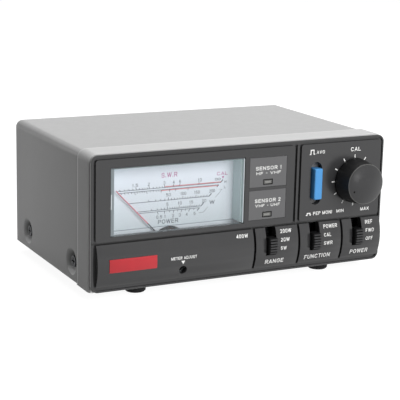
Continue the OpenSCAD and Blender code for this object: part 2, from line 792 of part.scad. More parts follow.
module meter_terminals() {
    color([0.75, 0.6, 0.3]) for (x = terminal_x) at_xz(x, terminal_z) {
        rod_y(screw_r, meter_y1 - 1.2, terminal_end);
        rod_y(screw_r + 1.2, meter_y1 - 1.2, meter_y1);
        translate([0, meter_y1 + meter_back_t, 0]) rotate([-90, 0, 0]) cylinder(r = 3.1, h = 2.2, $fn = 6);
    }
}
module lamp_holder() {
    color([0.1, 0.1, 0.1]) at_xz(window_x, lamp_z) difference() {
        union() {
            rod_y(lamp_r + 1, meter_y1 - 4, meter_y1 + meter_back_t + 1);
            rod_y(lamp_r + 2, meter_y1 + meter_back_t, meter_y1 + meter_back_t + 1);
        }
        rod_y(lamp_r + slip, meter_y1 - 5, meter_y1 - 1);
    }
}
module dial_lamp() {
    color([1, 0.95, 0.8, 0.6]) at_xz(window_x, lamp_z) {
        rod_y(lamp_r, meter_y1 - 9, meter_y1 - 1);
        translate([0, meter_y1 - 9, 0]) sphere(lamp_r);
    }
}

// Knob and potentiometer
module at_knob() { translate([knob_x, 0, deck_z]) children(); }
module cal_knob() {
    dome_r = (knob_face_d * knob_face_d / 4 + knob_dome * knob_dome) / (2 * knob_dome);
    color([0.08, 0.08, 0.08]) at_knob() difference() {
        intersection() {
            rotate([-90, 0, 0]) rotate_extrude() polygon([
                [0, -knob_out], [knob_face_d / 2, -knob_out],
                [knob_d / 2, -knob_back - knob_edge], [knob_d / 2, -knob_back], [0, -knob_back]
            ]);
            translate([0, dome_r - knob_out, 0]) sphere(dome_r);
        }
        rod_y(nut_r + 0.8, -bush_out - 0.6, 0);
        rod_y(shaft_d / 2 + slip, 2.4 - knob_out, 0);
        rotate([0, knob_mark_angle, 0]) at_xz(0, knob_mark_r) rod_y(0.45, -knob_out - 1, 1.6 - knob_out);
    }
}
module cal_shaft() {
    color("silver") at_knob() rod_y(shaft_d / 2, 2.6 - knob_out, pot_y - 2.5);
}
module cal_pot() {
    color([0.25, 0.3, 0.25]) at_knob() difference() {
        union() {
            rod_y(pot_r, panel_t, pot_y);
            rod_y(bush_r, -bush_out, panel_t + 0.1);
            for (x = [-5, 0, 5]) at_xz(x, -5) rod_y(0.5, pot_y - 0.1, board_y);
        }
        rod_y(shaft_d / 2 + slip, -bush_out - 1, pot_y - 2);
    }
}
module pot_nut() {
    at_knob() difference() {
        union() {
            rod_y(nut_r, -0.5, 0);
            translate([0, -bush_out + 0.2, 0]) rotate([-90, 0, 0])
                cylinder(r = nut_r, h = bush_out - 0.6, $fn = 6);
        }
        rod_y(bush_r + slip, -bush_out - 1, 1);
    }
}

// Slide switches
module lever(i) {
    pitch = lever_h / rib_count;
    color([0.06, 0.06, 0.06]) at_xz(switch_x[i], lever_low + lever_h / 2) {
        body_out = lever_out - lever_arch - rib_depth;
        block([-lever_w / 2, lever_w / 2], [-body_out, lever_back], [-lever_h / 2, lever_h / 2]);
        for (k = [0:rib_count - 1]) {
            middle = (k + 0.5) * pitch - lever_h / 2;
            rib_out = lever_out - lever_arch * pow(2 * middle / lever_h, 2);
            at_xz(0, middle) block([-lever_w / 2, lever_w / 2], [-rib_out, 0], [-pitch * 0.3, pitch * 0.3]);
        }
        block([-stem_w / 2, stem_w / 2], [lever_back - 0.1, wiper_y[0] + 0.1], [-stem_h / 2, stem_h / 2]);
        block([-wiper_w / 2, wiper_w / 2], wiper_y, [-wiper_h / 2, wiper_h / 2]);
    }
}
module slide_switch(i) {
    half_run = lever_travel / 2 + move_gap;
    wiper = [wiper_w / 2 + move_gap, wiper_h / 2 + half_run];
    stem = [stem_w / 2 + move_gap, stem_h / 2 + half_run];
    color([0.35, 0.36, 0.38]) at_xz(switch_x[i], lever_low + (lever_h + lever_travel) / 2) difference() {
        block([-switch_w / 2, switch_w / 2], [switch_y, board_y], [-switch_h / 2, switch_h / 2]);
        block([-wiper[0], wiper[0]], [wiper_y[0] - move_gap, wiper_y[1] + move_gap], [-wiper[1], wiper[1]]);
        block([-stem[0], stem[0]], [switch_y - 1, wiper_y[0]], [-stem[1], stem[1]]);
    }
}
module range_lever() { lever(0); }
module function_lever() { lever(1); }
module power_lever() { lever(2); }
module range_switch() { slide_switch(0); }
module function_switch() { slide_switch(1); }
module power_switch() { slide_switch(2); }

// Push key
module mode_key() {
    color([0.25, 0.55, 0.8]) at_xz(key_x, deck_z) slab(-key_out, key_flange_y) rounded(key_w, key_h, key_r);
}
module mode_plunger() {
    flange_end = key_flange_y + key_flange_t;
    half = plunger_w / 2;
    color([0.25, 0.26, 0.28]) at_xz(key_x, deck_z) {
        slab(key_flange_y, flange_end) square([key_slot_w + 1.2, key_slot_h + 1.2], center = true);
        block([-half, half], [flange_end - 0.1, key_switch_y + plunger_in], [-half, half]);
    }
}
module mode_switch() {
    hole = plunger_w / 2 + move_gap;
    hole_end = key_switch_y + plunger_in + key_travel + move_gap;
    color([0.4, 0.42, 0.45]) at_xz(key_x, deck_z) difference() {
        slab(key_switch_y, board_y) square(key_switch_h, center = true);
        block([-hole, hole], [key_switch_y - 1, hole_end], [-hole, hole]);
    }
}

// Sensor plates and their lamps
module lamp_hole() { square([lamp_w + 2 * lamp_gap, lamp_h + 2 * lamp_gap], center = true); }
module sensor_plates() {
    color([0.43, 0.43, 0.43]) for (z = plate_z) difference() {
        at_xz(plate_x, z) slab(0, plate_t) square([plate_w, plate_h], center = true);
        at_xz(plate_x, z - lamp_drop) slab(-1, plate_t + 1) lamp_hole();
    }
}
module sensor_lamps() {
    color([0.55, 0.55, 0.52]) for (z = plate_z) at_xz(plate_x, z - lamp_drop) {
        slab(0.1, lamp_depth) square([lamp_w, lamp_h], center = true);
        slab(panel_t + slip, panel_t + 1)
            square([lamp_w + 2 * lamp_flange, lamp_h + 2 * lamp_flange], center = true);
        for (s = [-1, 1]) at_xz(s * 1.27, 0) rod_y(0.3, lamp_depth - 0.1, board_y);
    }
}
module control_board() {
    color([0.15, 0.4, 0.2]) difference() {
        block([board_x0, board_x1], [board_y, board_y + board_t], [board_z0, board_z1]);
        for (p = post_at) at_xz(p[0], p[1]) rod_y(pilot_r + fit_gap, board_y - 1, board_y + board_t + 1);
    }
}
module board_screws() {
    color("silver") for (p = post_at)
        translate([p[0], board_y + board_t, p[1]]) screw_forward() screw(board_t + 5, pilot_r, 2.2, 1.3);
}

// Rear sockets and couplers
module flange_holes(r, y0, y1) {
    for (x = [-1, 1], z = [-1, 1]) at_xz(x * flange_pitch / 2, z * flange_pitch / 2) rod_y(r, y0, y1);
}
module socket_shells() {
    color("silver") for (x = socket_x) at_xz(x, socket_z) difference() {
        union() {
            slab(wall_out, wall_out + flange_t) rounded(flange_w, flange_w, 2);
            rod_y(barrel_d / 2, wall_out + flange_t - 0.1, socket_end);
        }
        rod_y(insulator_r + slip, wall_out - 1, socket_end + 1);
        flange_holes(screw_r + fit_gap, wall_out - 1, wall_out + flange_t + 1);
    }
}
module socket_insulators() {
    color([0.9, 0.88, 0.82]) for (x = socket_x) at_xz(x, socket_z) difference() {
        rod_y(insulator_r, wall_in - insulator_in, socket_end - 1);
        rod_y(contact_r + slip, wall_in - insulator_in - 1, socket_end);
    }
}
module socket_contacts() {
    color([0.85, 0.7, 0.3]) for (x = socket_x) at_xz(x, socket_z) difference() {
        rod_y(contact_r, contact_in, socket_end - 0.6);
        rod_y(contact_bore / 2, socket_end - 0.6 - contact_depth, socket_end);
    }
}
module socket_screws() {
    color("silver") for (x = socket_x, dx = [-1, 1], dz = [-1, 1])
        translate([x + dx * flange_pitch / 2, wall_out + flange_t, socket_z + dz * flange_pitch / 2])
            screw_forward() screw(flange_t + chassis_t + coupler_wall);
}
module coupler_boxes() {
    half = coupler_w / 2;
    inner = half - coupler_wall;
    depth = [coupler_y0 + coupler_wall, wall_in - coupler_wall];
    color([0.66, 0.66, 0.66]) for (c = coupler_x) translate([c, 0, 0]) difference() {
        block([-half, half], [coupler_y0, wall_in], [coupler_z0, coupler_z1]);
        block([-inner, inner], depth, [coupler_z0 + coupler_wall, coupler_z1 + 1]);
        for (s = [-1, 1]) at_xz(s * socket_spread, socket_z) {
            rod_y(insulator_r + fit_gap, wall_in - coupler_wall - 1, wall_in + 1);
            flange_holes(screw_r + slip, wall_in - coupler_wall - 1, wall_in + 1);
        }
    }
}
module coupler_lids() {
    half = coupler_w / 2;
    color([0.72, 0.72, 0.72]) for (c = coupler_x)
        block([c - half, c + half], [coupler_y0, wall_in], [coupler_z1, coupler_z1 + lid_t]);
}
module line_rods() {
    color([0.85, 0.7, 0.3]) for (c = coupler_x)
        translate([c, contact_in - rod_r, socket_z]) rotate([0, 90, 0])
            cylinder(r = rod_r, h = 2 * socket_spread + 2 * contact_r, center = true);
}
module pickup_boards() {
    base = coupler_z0 + coupler_wall;
    half = socket_spread + 4;
    depth = [coupler_y0 + coupler_wall + 1, contact_in + 4];
    color([0.15, 0.4, 0.2]) for (c = coupler_x) block([c - half, c + half], depth, [base, base + board_t]);
}
module dc_jack() {
    color([0.1, 0.1, 0.1]) at_xz(0, socket_z) {
        difference() {
            union() {
                rod_y(jack_lip_r, wall_out, wall_out + jack_lip_t);
                rod_y(jack_r, wall_in - jack_nut_t - 0.6, wall_out + 0.1);
                rod_y(jack_body_r, jack_in, wall_in - jack_nut_t - 0.5);
            }
            rod_y(jack_bore / 2, wall_out + jack_lip_t - jack_depth, wall_out + jack_lip_t + 1);
        }
        rod_y(jack_pin_r, wall_out + jack_lip_t - jack_depth - 0.1, wall_out + jack_lip_t - 1);
    }
}
module jack_nut() {
    at_xz(0, socket_z) difference() {
        translate([0, wall_in - jack_nut_t, 0]) rotate([-90, 0, 0])
            cylinder(r = jack_r + 2.4, h = jack_nut_t, $fn = 6);
        rod_y(jack_r + slip, wall_in - jack_nut_t - 1, wall_in + 1);
    }
}
module panel_nuts() {
    color("silver") {
        pot_nut();
        jack_nut();
    }
}

// Inner leads
function unit(v) = v / norm(v);
function spline(p, i, t) =
    let (a = p[max(i - 1, 0)], b = p[i], c = p[i + 1], d = p[min(i + 2, len(p) - 1)])
    0.5 * (2 * b + t * (c - a) + t * t * (2 * a - 5 * b + 4 * c - d) + t * t * t * (3 * b - a - 3 * c + d));
function smooth(p) = concat(
    [for (i = [0:len(p) - 2], k = [0:lead_steps - 1]) spline(p, i, k / lead_steps)], [p[len(p) - 1]]);
module lead(route) {
    path = smooth(route);
    last = len(path) - 1;
    rings = [
        for (i = [0:last])
            let (ahead = i == 0 ? route[1] - route[0]
                         : i == last ? route[len(route) - 1] - route[len(route) - 2]
                         : path[i + 1] - path[i - 1],
                 along = unit(ahead),
                 side = unit(cross(along, [0, 0, 1])), up = cross(side, along))
            for (k = [0:lead_sides - 1])
                path[i] + lead_r * (cos(360 * k / lead_sides) * side + sin(360 * k / lead_sides) * up)
    ];
    walls = [
        for (i = [0:last - 1], k = [0:lead_sides - 1])
            let (a = i * lead_sides + k, b = i * lead_sides + (k + 1) % lead_sides)
            each [[a, b, b + lead_sides], [a, b + lead_sides, a + lead_sides]]
    ];
    ends = [
        for (k = [1:lead_sides - 2])
            each [[0, k + 1, k], [last * lead_sides, last * lead_sides + k, last * lead_sides + k + 1]]
    ];
    polyhedron(rings, concat(walls, ends));
}
module inner_leads() {
    color([0.75, 0.15, 0.1]) {
        lead(left_coupler_route);
        lead(right_coupler_route);
        lead(supply_route);
        for (route = meter_routes) lead(route);
    }
}

in_frame() top_cover();
in_frame() chassis();
in_frame() front_panel();
in_frame() cover_screws();
in_frame() panel_screws();
in_frame() foot_front_left();
in_frame() foot_front_right();
in_frame() foot_rear_left();
in_frame() foot_rear_right();
in_frame() foot_screws();
in_frame() badge_plate();
in_frame() meter_case();
in_frame() meter_back();
in_frame() meter_screws();
in_frame() meter_shroud();
in_frame() meter_window();
in_frame() scale_plate();
in_frame() scale_mask();
in_frame() scale_screws();
in_frame() front_bridge();
in_frame() rear_bridge();
in_frame() bearing_jewels();
in_frame() core_magnet();
in_frame() magnet_yoke();
in_frame() needle();
in_frame() moving_coil();
in_frame() needle_pivots();
in_frame() hairspring();
in_frame() zero_screw();
in_frame() zero_arm();
in_frame() meter_terminals();
in_frame() dial_lamp();
in_frame() lamp_holder();
in_frame() cal_knob();
in_frame() cal_shaft();
in_frame() cal_pot();
in_frame() panel_nuts();
in_frame() range_lever();
in_frame() function_lever();
in_frame() power_lever();
in_frame() range_switch();
in_frame() function_switch();
in_frame() power_switch();
in_frame() mode_key();
in_frame() mode_plunger();
in_frame() mode_switch();
in_frame() sensor_plates();
in_frame() sensor_lamps();
in_frame() control_board();
in_frame() board_screws();
in_frame() socket_shells();
in_frame() socket_insulators();
in_frame() socket_contacts();
in_frame() socket_screws();
in_frame() coupler_boxes();
in_frame() coupler_lids();
in_frame() line_rods();
in_frame() pickup_boards();
in_frame() dc_jack();
in_frame() inner_leads();
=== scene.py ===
"""Looks of a standing-wave and power meter: finishes, lettering, dial print, stage, light and camera."""
import json
import math

import bmesh
import bpy
from mathutils import Matrix, Vector


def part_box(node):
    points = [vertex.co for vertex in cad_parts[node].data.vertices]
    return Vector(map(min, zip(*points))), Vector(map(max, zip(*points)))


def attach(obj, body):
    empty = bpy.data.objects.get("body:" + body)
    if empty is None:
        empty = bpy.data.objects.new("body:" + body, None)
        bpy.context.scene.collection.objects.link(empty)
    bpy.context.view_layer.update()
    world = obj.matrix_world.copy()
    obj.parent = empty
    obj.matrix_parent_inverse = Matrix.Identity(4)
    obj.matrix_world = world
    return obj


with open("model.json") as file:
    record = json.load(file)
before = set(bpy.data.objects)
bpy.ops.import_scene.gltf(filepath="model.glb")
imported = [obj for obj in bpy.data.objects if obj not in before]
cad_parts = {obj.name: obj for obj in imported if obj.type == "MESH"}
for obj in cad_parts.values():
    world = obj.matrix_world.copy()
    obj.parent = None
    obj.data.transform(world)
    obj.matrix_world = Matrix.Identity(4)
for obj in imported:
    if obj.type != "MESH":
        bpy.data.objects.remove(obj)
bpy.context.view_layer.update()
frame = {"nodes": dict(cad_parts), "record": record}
nodes = frame["nodes"]

# Places are in millimetres: right of the middle, behind the panel's flat face, above the case's underside
MM = 0.001
front_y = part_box("sensor_plates")[0].y
under_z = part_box("top_cover")[0].z


def place(x, y, z):
    """A point of the scene, in metres."""
    return Vector((x * MM, front_y + y * MM, under_z + z * MM))


def spot(node):
    """Middle of a piece as seen from the front: x and z."""
    low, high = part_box(node)
    mid = (low + high) / 2
    return mid.x / MM, (mid.z - under_z) / MM


def nearest(node):
    """Depth of the piece's foremost point."""
    return (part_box(node)[0].y - front_y) / MM


def furthest(node):
    """Depth of the piece's rearmost point."""
    return (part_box(node)[1].y - front_y) / MM


# Sizes that the finishes, labels and prints follow, in millimetres, and the needle's swing
INK_T = 0.03
INK_STEP = 0.003
INK_STEPS = 7
BULGE = -nearest("front_panel")
PAD_LOW = 2.8
PAD_HIGH = 22.45
PAD_MID = (PAD_LOW + PAD_HIGH) / 2
BULGE_R = ((PAD_HIGH - PAD_LOW) ** 2 / 4 + BULGE ** 2) / (2 * BULGE)
DIAL_Y = nearest("scale_plate")
SHROUD_Y = nearest("meter_shroud")
REAR_Y = furthest("chassis")
PIVOT_X, PIVOT_Z = spot("needle_pivots")
SWING = math.radians(88)
KNOB_X, DECK_Z = spot("cal_knob")
KNOB_Y = nearest("cal_knob")
KNOB_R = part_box("cal_knob")[1].x / MM - KNOB_X
KNOB_CROWN = 1.4
LENS_HALF = 1.9
KEY_X = spot("mode_key")[0]
PLATE_X = spot("sensor_plates")[0]
ADJUST_X, ADJUST_Z = spot("zero_screw")
RANGE_X = spot("range_lever")[0]
FUNCTION_X = spot("function_lever")[0]
POWER_X = spot("power_lever")[0]


def level(depth):
    """A surface that has one depth at every height."""
    return lambda z: depth


def bulged_front(z):
    """Depth of the bulged lower pads at height z."""
    return BULGE_R - BULGE - math.sqrt(BULGE_R ** 2 - (z - PAD_MID) ** 2)


# Materials

def linear(*rgb):
    """A colour from its screen values, 0 to 255."""
    def one(v):
        v /= 255
        return v / 12.92 if v <= 0.04045 else ((v + 0.055) / 1.055) ** 2.4
    return tuple(one(v) for v in rgb) + (1.0,)


def shade(colour, factor):
    """A darker or lighter tone of a colour."""
    return tuple(min(1.0, c * factor) for c in colour[:3]) + (1.0,)


class Finish:
    """A Principled material that grows by layers of colour, gloss and relief."""

    def __init__(self, name, colour, rough, metallic=0.0, **sockets):
        self.name = name
        self.mat = bpy.data.materials.new(name)
        self.mat.use_nodes = True
        self.tree = self.mat.node_tree
        self.shader = self.tree.nodes["Principled BSDF"]
        self.colour = colour
        self.rough = rough
        self.coords = self.node("ShaderNodeTexCoord").outputs["Object"]
        self.bump = None
        self.set(self.shader, {"Base Color": colour, "Roughness": rough, "Metallic": metallic})
        self.set(self.shader, {key.replace("_", " "): value for key, value in sockets.items()})

    def node(self, kind, inputs=None, **settings):
        """A new node with its settings and input values."""
        made = self.tree.nodes.new(kind)
        for key, value in settings.items():
            setattr(made, key, value)
        self.set(made, inputs or {})
        return made

    def set(self, node, inputs):
        """Sets a node's inputs by their names or numbers."""
        for key, value in inputs.items():
            node.inputs[key].default_value = value

    def join(self, out, node, socket):
        """Links an output to one input of a node."""
        self.tree.links.new(out, node.inputs[socket])

    def noise(self, scale, detail=3.0, stretch=(1, 1, 1)):
        """Cloudy values from 0 to 1, with features of about 1 / scale metres."""
        mapped = self.node("ShaderNodeMapping", {"Scale": stretch})
        self.join(self.coords, mapped, "Vector")
        cloud = self.node("ShaderNodeTexNoise", {"Scale": scale, "Detail": detail})
        self.join(mapped.outputs["Vector"], cloud, "Vector")
        return self.ramp(cloud.outputs["Fac"], 0.25, 0.75)

    def ramp(self, value, start, stop):
        """Rises from 0 at start to 1 at stop."""
        made = self.node("ShaderNodeMapRange", {"From Min": start, "From Max": stop})
        self.join(value, made, "Value")
        return made.outputs["Result"]

    def along(self, axis, origin, start, stop):
        """Rises from 0 to 1 between two places on an axis, in millimetres from an origin in metres."""
        parts = self.node("ShaderNodeSeparateXYZ")
        self.join(self.coords, parts, "Vector")
        return self.ramp(parts.outputs[axis], origin + start * MM, origin + stop * MM)

    def distance(self, middle, kept=(1, 1, 1)):
        """Metres from a place, along the axes that are kept."""
        flat = self.node("ShaderNodeVectorMath", {1: kept}, operation="MULTIPLY")
        self.join(self.coords, flat, 0)
        away = self.node("ShaderNodeVectorMath", {1: Vector(kept) * middle}, operation="DISTANCE")
        self.join(flat.outputs["Vector"], away, 0)
        return away.outputs["Value"]

    def both(self, first, second):
        """Product of two factors."""
        made = self.node("ShaderNodeMath", operation="MULTIPLY")
        self.join(first, made, 0)
        self.join(second, made, 1)
        return made.outputs[0]

    def band(self, axis, origin, start, stop, soft):
        """1 between two such places, fading over a soft edge outside them."""
        rise = self.along(axis, origin, start - soft, start)
        fall = self.along(axis, origin, stop + soft, stop)
        return self.both(rise, fall)

    def tinted(self, factor, low, high):
        """Colours the surface from low to high by a factor."""
        mix = self.node("ShaderNodeMix", data_type="RGBA")
        self.join(factor, mix, 0)
        mix.inputs[6].default_value = low
        mix.inputs[7].default_value = high
        self.join(mix.outputs[2], self.shader, "Base Color")
        return self

    def mottled(self, scale, amount, stretch=(1, 1, 1)):
        """Varies the colour by the given share either way."""
        return self.tinted(self.noise(scale, stretch=stretch), shade(self.colour, 1 - amount),
                           shade(self.colour, 1 + amount))

    def coated(self, factor, colour):
        """Lays another colour over the present one by a factor."""
        mix = self.node("ShaderNodeMix", data_type="RGBA")
        self.join(factor, mix, 0)
        self.join(self.shader.inputs["Base Color"].links[0].from_socket, mix, 6)
        mix.inputs[7].default_value = colour
        self.join(mix.outputs[2], self.shader, "Base Color")
        return self

    def grimed(self, reach, colour):
        """Paints shade into hollows narrower than about the reach, in millimetres, by ambient occlusion."""
        unshaded, full = 0.52, 0.25
        hollow = self.node("ShaderNodeAmbientOcclusion", {"Distance": reach * MM}, samples=8)
        return self.coated(self.ramp(hollow.outputs["AO"], unshaded, full), colour)

    def glossed(self, scale, amount, stretch=(1, 1, 1)):
        """Varies the roughness by the given amount either way."""
        limits = {"To Min": self.rough - amount, "To Max": self.rough + amount}
        spread = self.node("ShaderNodeMapRange", limits)
        self.join(self.noise(scale, stretch=stretch), spread, "Value")
        self.join(spread.outputs["Result"], self.shader, "Roughness")
        return self

    def grained(self, scale, height, stretch=(1, 1, 1)):
        """Adds cloudy relief of the given height in millimetres."""
        return self.raised(self.noise(scale, 2.0, stretch), height)

    def raised(self, value, height):
        """Adds relief that follows a value, over any relief that is there."""
        bump = self.node("ShaderNodeBump", {"Strength": 1.0, "Distance": height * MM})
        self.join(value, bump, "Height")
        if self.bump:
            self.join(self.bump.outputs["Normal"], bump, "Normal")
        self.join(bump.outputs["Normal"], self.shader, "Normal")
        self.bump = bump
        return self


def enamel(name, colour, specular=0.35):
    """Baked enamel on sheet steel: a faint orange peel, fine specks and uneven gloss."""
    return (Finish(name, colour, 0.45, Specular_IOR_Level=specular)
            .mottled(9000, 0.03).glossed(300, 0.06).grained(900, 0.015).grained(6000, 0.005))


# Painted shade and painted highlights on the cover, as shares of its paint
TOP_PAINTED_SHADE = 0.63
FLANK_PAINTED_SHADE = 0.74
LIP_PAINTED_SHADE = 0.72
LIP_TOP_PAINTED_HIGHLIGHT = 0.79
CREST_PAINTED_HIGHLIGHT = 0.94
FRONT_EDGE_PAINTED_SHADE = 0.53
DIMPLE_PAINTED_SHADE = 0.3
LEFT_DIMPLE_PAINTED_HIGHLIGHT = 1.7
RIGHT_DIMPLE_PAINTED_HIGHLIGHT = 1.0

# Where that painted shade and those painted highlights begin and are full, from the cover's top, rear edge
# and front edge and from the lip's bend
FOLD = (-4.0, -2.5)
FLANK_REAR = 20.0
FRONT_EDGE = (1.6, 1.0)
LIP = 15.4
LIP_FRONT = 2.0
LIP_START = (0.2, -0.2)

# Bands by the lip's bend: start, stop and soft edge of the crest's painted highlight, and start, stop and
# tone of each line, a painted shadow behind the bend and a painted highlight before it
CREST = (-1.2, -0.4, 0.5)
LIP_PAINTED_LINES = ((1.0, 2.4, 0.6), (-1.8, -0.4, 1.1))
LINE_SOFT = 0.3

# Where the painted shade and painted highlight of the dimples begin and are full: heights from the screws,
# then depths in the flank
DIMPLE_TOP = (9.0, 7.0)
DIMPLE_UPPER = (-4.0, -1.0)
DIMPLE_LOWER = (-3.0, -4.6)
DIMPLE_DEEP = (1.0, 2.8)
DIMPLE_SUNK = (0.82, 1.0)


def lip_tones(made, colour):
    """Paints shade on the cover's top, flanks and front edge, and draws a painted shadow line and painted
    highlights along its flared lip.
    """
    low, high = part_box("top_cover")
    bend = low.y + LIP * MM
    depth = (high.y - low.y) / MM
    above = made.along("Z", high.z, *FOLD)
    beside = made.along("Z", high.z, *FOLD[::-1])
    forward = made.along("Y", low.y, depth - FLANK_REAR, LIP)
    # Painted shade: the top darker, the flanks darker towards the front, the lip darker
    made.coated(above, shade(colour, TOP_PAINTED_SHADE))
    made.coated(made.both(forward, beside), shade(colour, FLANK_PAINTED_SHADE))
    made.coated(made.along("Y", low.y, LIP, LIP_FRONT), shade(colour, LIP_PAINTED_SHADE))
    # On the flanks, a painted shadow line behind the lip's bend and a painted highlight line before it
    for start, stop, tone in LIP_PAINTED_LINES:
        line = made.band("Y", bend, start, stop, LINE_SOFT)
        made.coated(made.both(line, beside), shade(colour, tone))
    # Painted highlights on the lip's top and crest, and painted shade over the front edge
    lip = made.along("Y", bend, *LIP_START)
    made.coated(made.both(lip, above), shade(colour, LIP_TOP_PAINTED_HIGHLIGHT))
    crest = made.band("Y", bend, *CREST)
    made.coated(made.both(crest, above), shade(colour, CREST_PAINTED_HIGHLIGHT))
    made.coated(made.along("Y", low.y, *FRONT_EDGE), shade(colour, FRONT_EDGE_PAINTED_SHADE))


def dimple_tones(made, colour):
    """Paints shade in the dimples' upper parts, and a painted highlight in their lower parts on the left
    flank, which has less light.
    """
    low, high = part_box("top_cover")
    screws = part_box("cover_screws")
    seat = (screws[0].z + screws[1].z) / 2
    low_down = made.along("Z", seat, *DIMPLE_TOP)
    upper = made.along("Z", seat, *DIMPLE_UPPER)
    lower = made.along("Z", seat, *DIMPLE_LOWER)
    for edge, side, highlight_tone in ((low.x, -1, LEFT_DIMPLE_PAINTED_HIGHLIGHT), (high.x, 1, RIGHT_DIMPLE_PAINTED_HIGHLIGHT)):
        here = made.both(low_down, made.along("X", 0, 0, side))
        deep, sunk = (made.along("X", edge, -side * begin, -side * full)
                      for begin, full in (DIMPLE_DEEP, DIMPLE_SUNK))
        # Painted shade in each dimple's upper part, and a painted highlight in its lower part
        made.coated(made.both(made.both(deep, here), upper), shade(colour, DIMPLE_PAINTED_SHADE))
        made.coated(made.both(made.both(sunk, here), lower), shade(colour, highlight_tone))


def cover_enamel(name, colour):
    """The cover's enamel, with painted shade and painted highlights on its top, flanks, lip and dimples."""
    made = enamel(name, colour, specular=0.1)
    lip_tones(made, colour)
    dimple_tones(made, colour)
    return made


def moulding(name, colour, rough=0.5, grain=0.01, specular=0.3):
    """Moulded plastic with a spark-eroded grain."""
    return (Finish(name, colour, rough, Specular_IOR_Level=specular)
            .mottled(5000, 0.05).glossed(200, 0.05).grained(3500, grain))


def gloss_moulding(name, colour, rough):
    """Polished plastic with a trace of flow marks."""
    return (Finish(name, colour, rough, Specular_IOR_Level=0.4, Coat_Weight=0.2, Coat_Roughness=0.2)
            .mottled(250, 0.04).glossed(400, 0.05).grained(300, 0.003))


def brushed(name, colour, rough=0.35):
    """Metal with fine lines that run along X."""
    lines = (1, 40, 40)
    return (Finish(name, colour, rough, metallic=1.0)
            .mottled(250, 0.1, lines).glossed(250, 0.1, lines).grained(250, 0.004, lines))


def plated(name, colour, rough):
    """Plated metal with slight stains."""
    return (Finish(name, colour, rough, metallic=1.0)
            .mottled(180, 0.07).glossed(220, 0.07).grained(1200, 0.002))


def ink(name, colour):
    """Screen-printed ink with an uneven lay."""
    return Finish(name, colour, 0.6, Specular_IOR_Level=0.2).mottled(2500, 0.05).grained(4000, 0.003)


def rubber(name, colour):
    """Dull rubber with a blotchy bloom."""
    return (Finish(name, colour, 0.8, Specular_IOR_Level=0.25)
            .mottled(700, 0.15).glossed(500, 0.08).grained(2500, 0.02))


def clear(name, colour, alpha):
    """A clear moulding with faint haze."""
    return (Finish(name, colour, 0.05, Alpha=alpha, IOR=1.49, Specular_IOR_Level=0.5)
            .mottled(120, 0.02).grained(90, 0.003))


def panel_moulding(name, colour):
    """The panel's satin plastic, with painted shade in the groove over the lower pads and in its hollows."""
    made = moulding(name, colour, 0.22, 0.006, specular=0.56)
    groove_shade = made.band("Z", under_z, PAD_HIGH + 0.2, PAD_HIGH + 1.0, 0.2)
    # Painted shade in the groove and in the hollows
    return made.coated(groove_shade, shade(colour, 0.2)).grimed(1.6, shade(colour, 0.35))


def shroud_moulding(name, colour, strip):
    """The shroud's plastic, darker at the left and the top of the window."""
    made = moulding(name, colour, 0.4)
    low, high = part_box("meter_window")
    sharp = 0.1
    made.coated(made.along("X", low.x, 0, -sharp), strip)
    return made.coated(made.along("Z", high.z, 0, sharp), shade(strip, 0.6))


def lever_moulding(name, colour, crest):
    """The levers' plastic, with painted highlights on the crests of the ribs."""
    made = moulding(name, colour, 0.5, specular=0.25)
    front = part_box("range_lever")[0].y
    # Painted highlight on the crests of the ribs
    crest_highlight = made.along("Y", front, 1.0, 0.3)
    return made.coated(crest_highlight, crest)


def dial_enamel(name, colour, foot):
    """The dial's enamel, with painted shade greying it towards its foot and painted light whitening its right
    end.
    """
    made = enamel(name, colour)
    low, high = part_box("meter_window")
    height = (high.z - low.z) / MM
    toward_foot_shade = made.along("Z", low.z, height - 8, 0)
    right_end_light = made.along("X", high.x, -6, -1.5)
    # Painted shade towards the foot, painted light at the right end
    return made.coated(toward_foot_shade, foot).coated(right_end_light, shade(colour, 1.1))


def mask_moulding(name, colour, line):
    """The plastic of the mask over the dial's foot, with a painted shadow line along its top edge."""
    made = moulding(name, colour, 0.45)
    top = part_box("scale_mask")[1].z
    # Painted shadow line along the mask's top edge
    painted_rim_line = made.along("Z", top, -0.4, -0.2)
    return made.coated(painted_rim_line, line)


def spun_black(name, side, face, painted_rim_line):
    """Satin black with a sheen that runs round the knob's axis, a crowned, worn face and a painted highlight
    line round it.
    """
    made = Finish(name, side, 0.28, Specular_IOR_Level=0.4, Anisotropic=0.3)
    tangent = made.node("ShaderNodeTangent", direction_type="RADIAL", axis="Y")
    made.join(tangent.outputs["Tangent"], made.shader, "Tangent")
    front = front_y + KNOB_Y * MM
    worn = made.along("Y", front, 1.6, 1.3)
    face_ring_highlight = made.band("Y", front, 1.2, 1.35, 0.06)
    # A painted highlight line round the face
    made.mottled(600, 0.1).coated(worn, face).coated(face_ring_highlight, painted_rim_line)
    radius = made.ramp(made.distance(place(KNOB_X, 0, DECK_Z), kept=(1, 0, 1)), 0, KNOB_R * MM)
    made.raised(made.both(radius, radius), -KNOB_CROWN)
    sheen = made.node("ShaderNodeMapRange", {"To Min": 0.55, "To Max": 0.28})
    made.join(made.along("Y", front, 1.7, 1.4), sheen, "Value")
    made.join(sheen.outputs["Result"], made.shader, "Roughness")
    return made.grained(2500, 0.003)


def needle_paint(name, colour, root):
    """Paint on the needle, dark on the part near its pivot."""
    made = ink(name, colour)
    away = made.distance(place(PIVOT_X, nearest("needle"), PIVOT_Z))
    return made.coated(made.ramp(away, 17 * MM, 16 * MM), root)


def wound(name, colour):
    """Enamelled wire laid in close turns."""
    made = Finish(name, colour, 0.35, metallic=0.8)
    turns = made.node("ShaderNodeTexWave", {"Scale": 1200, "Distortion": 0.6}, bands_direction="Y")
    made.join(made.coords, turns, "Vector")
    return made.mottled(900, 0.15).raised(turns.outputs["Fac"], 0.05)


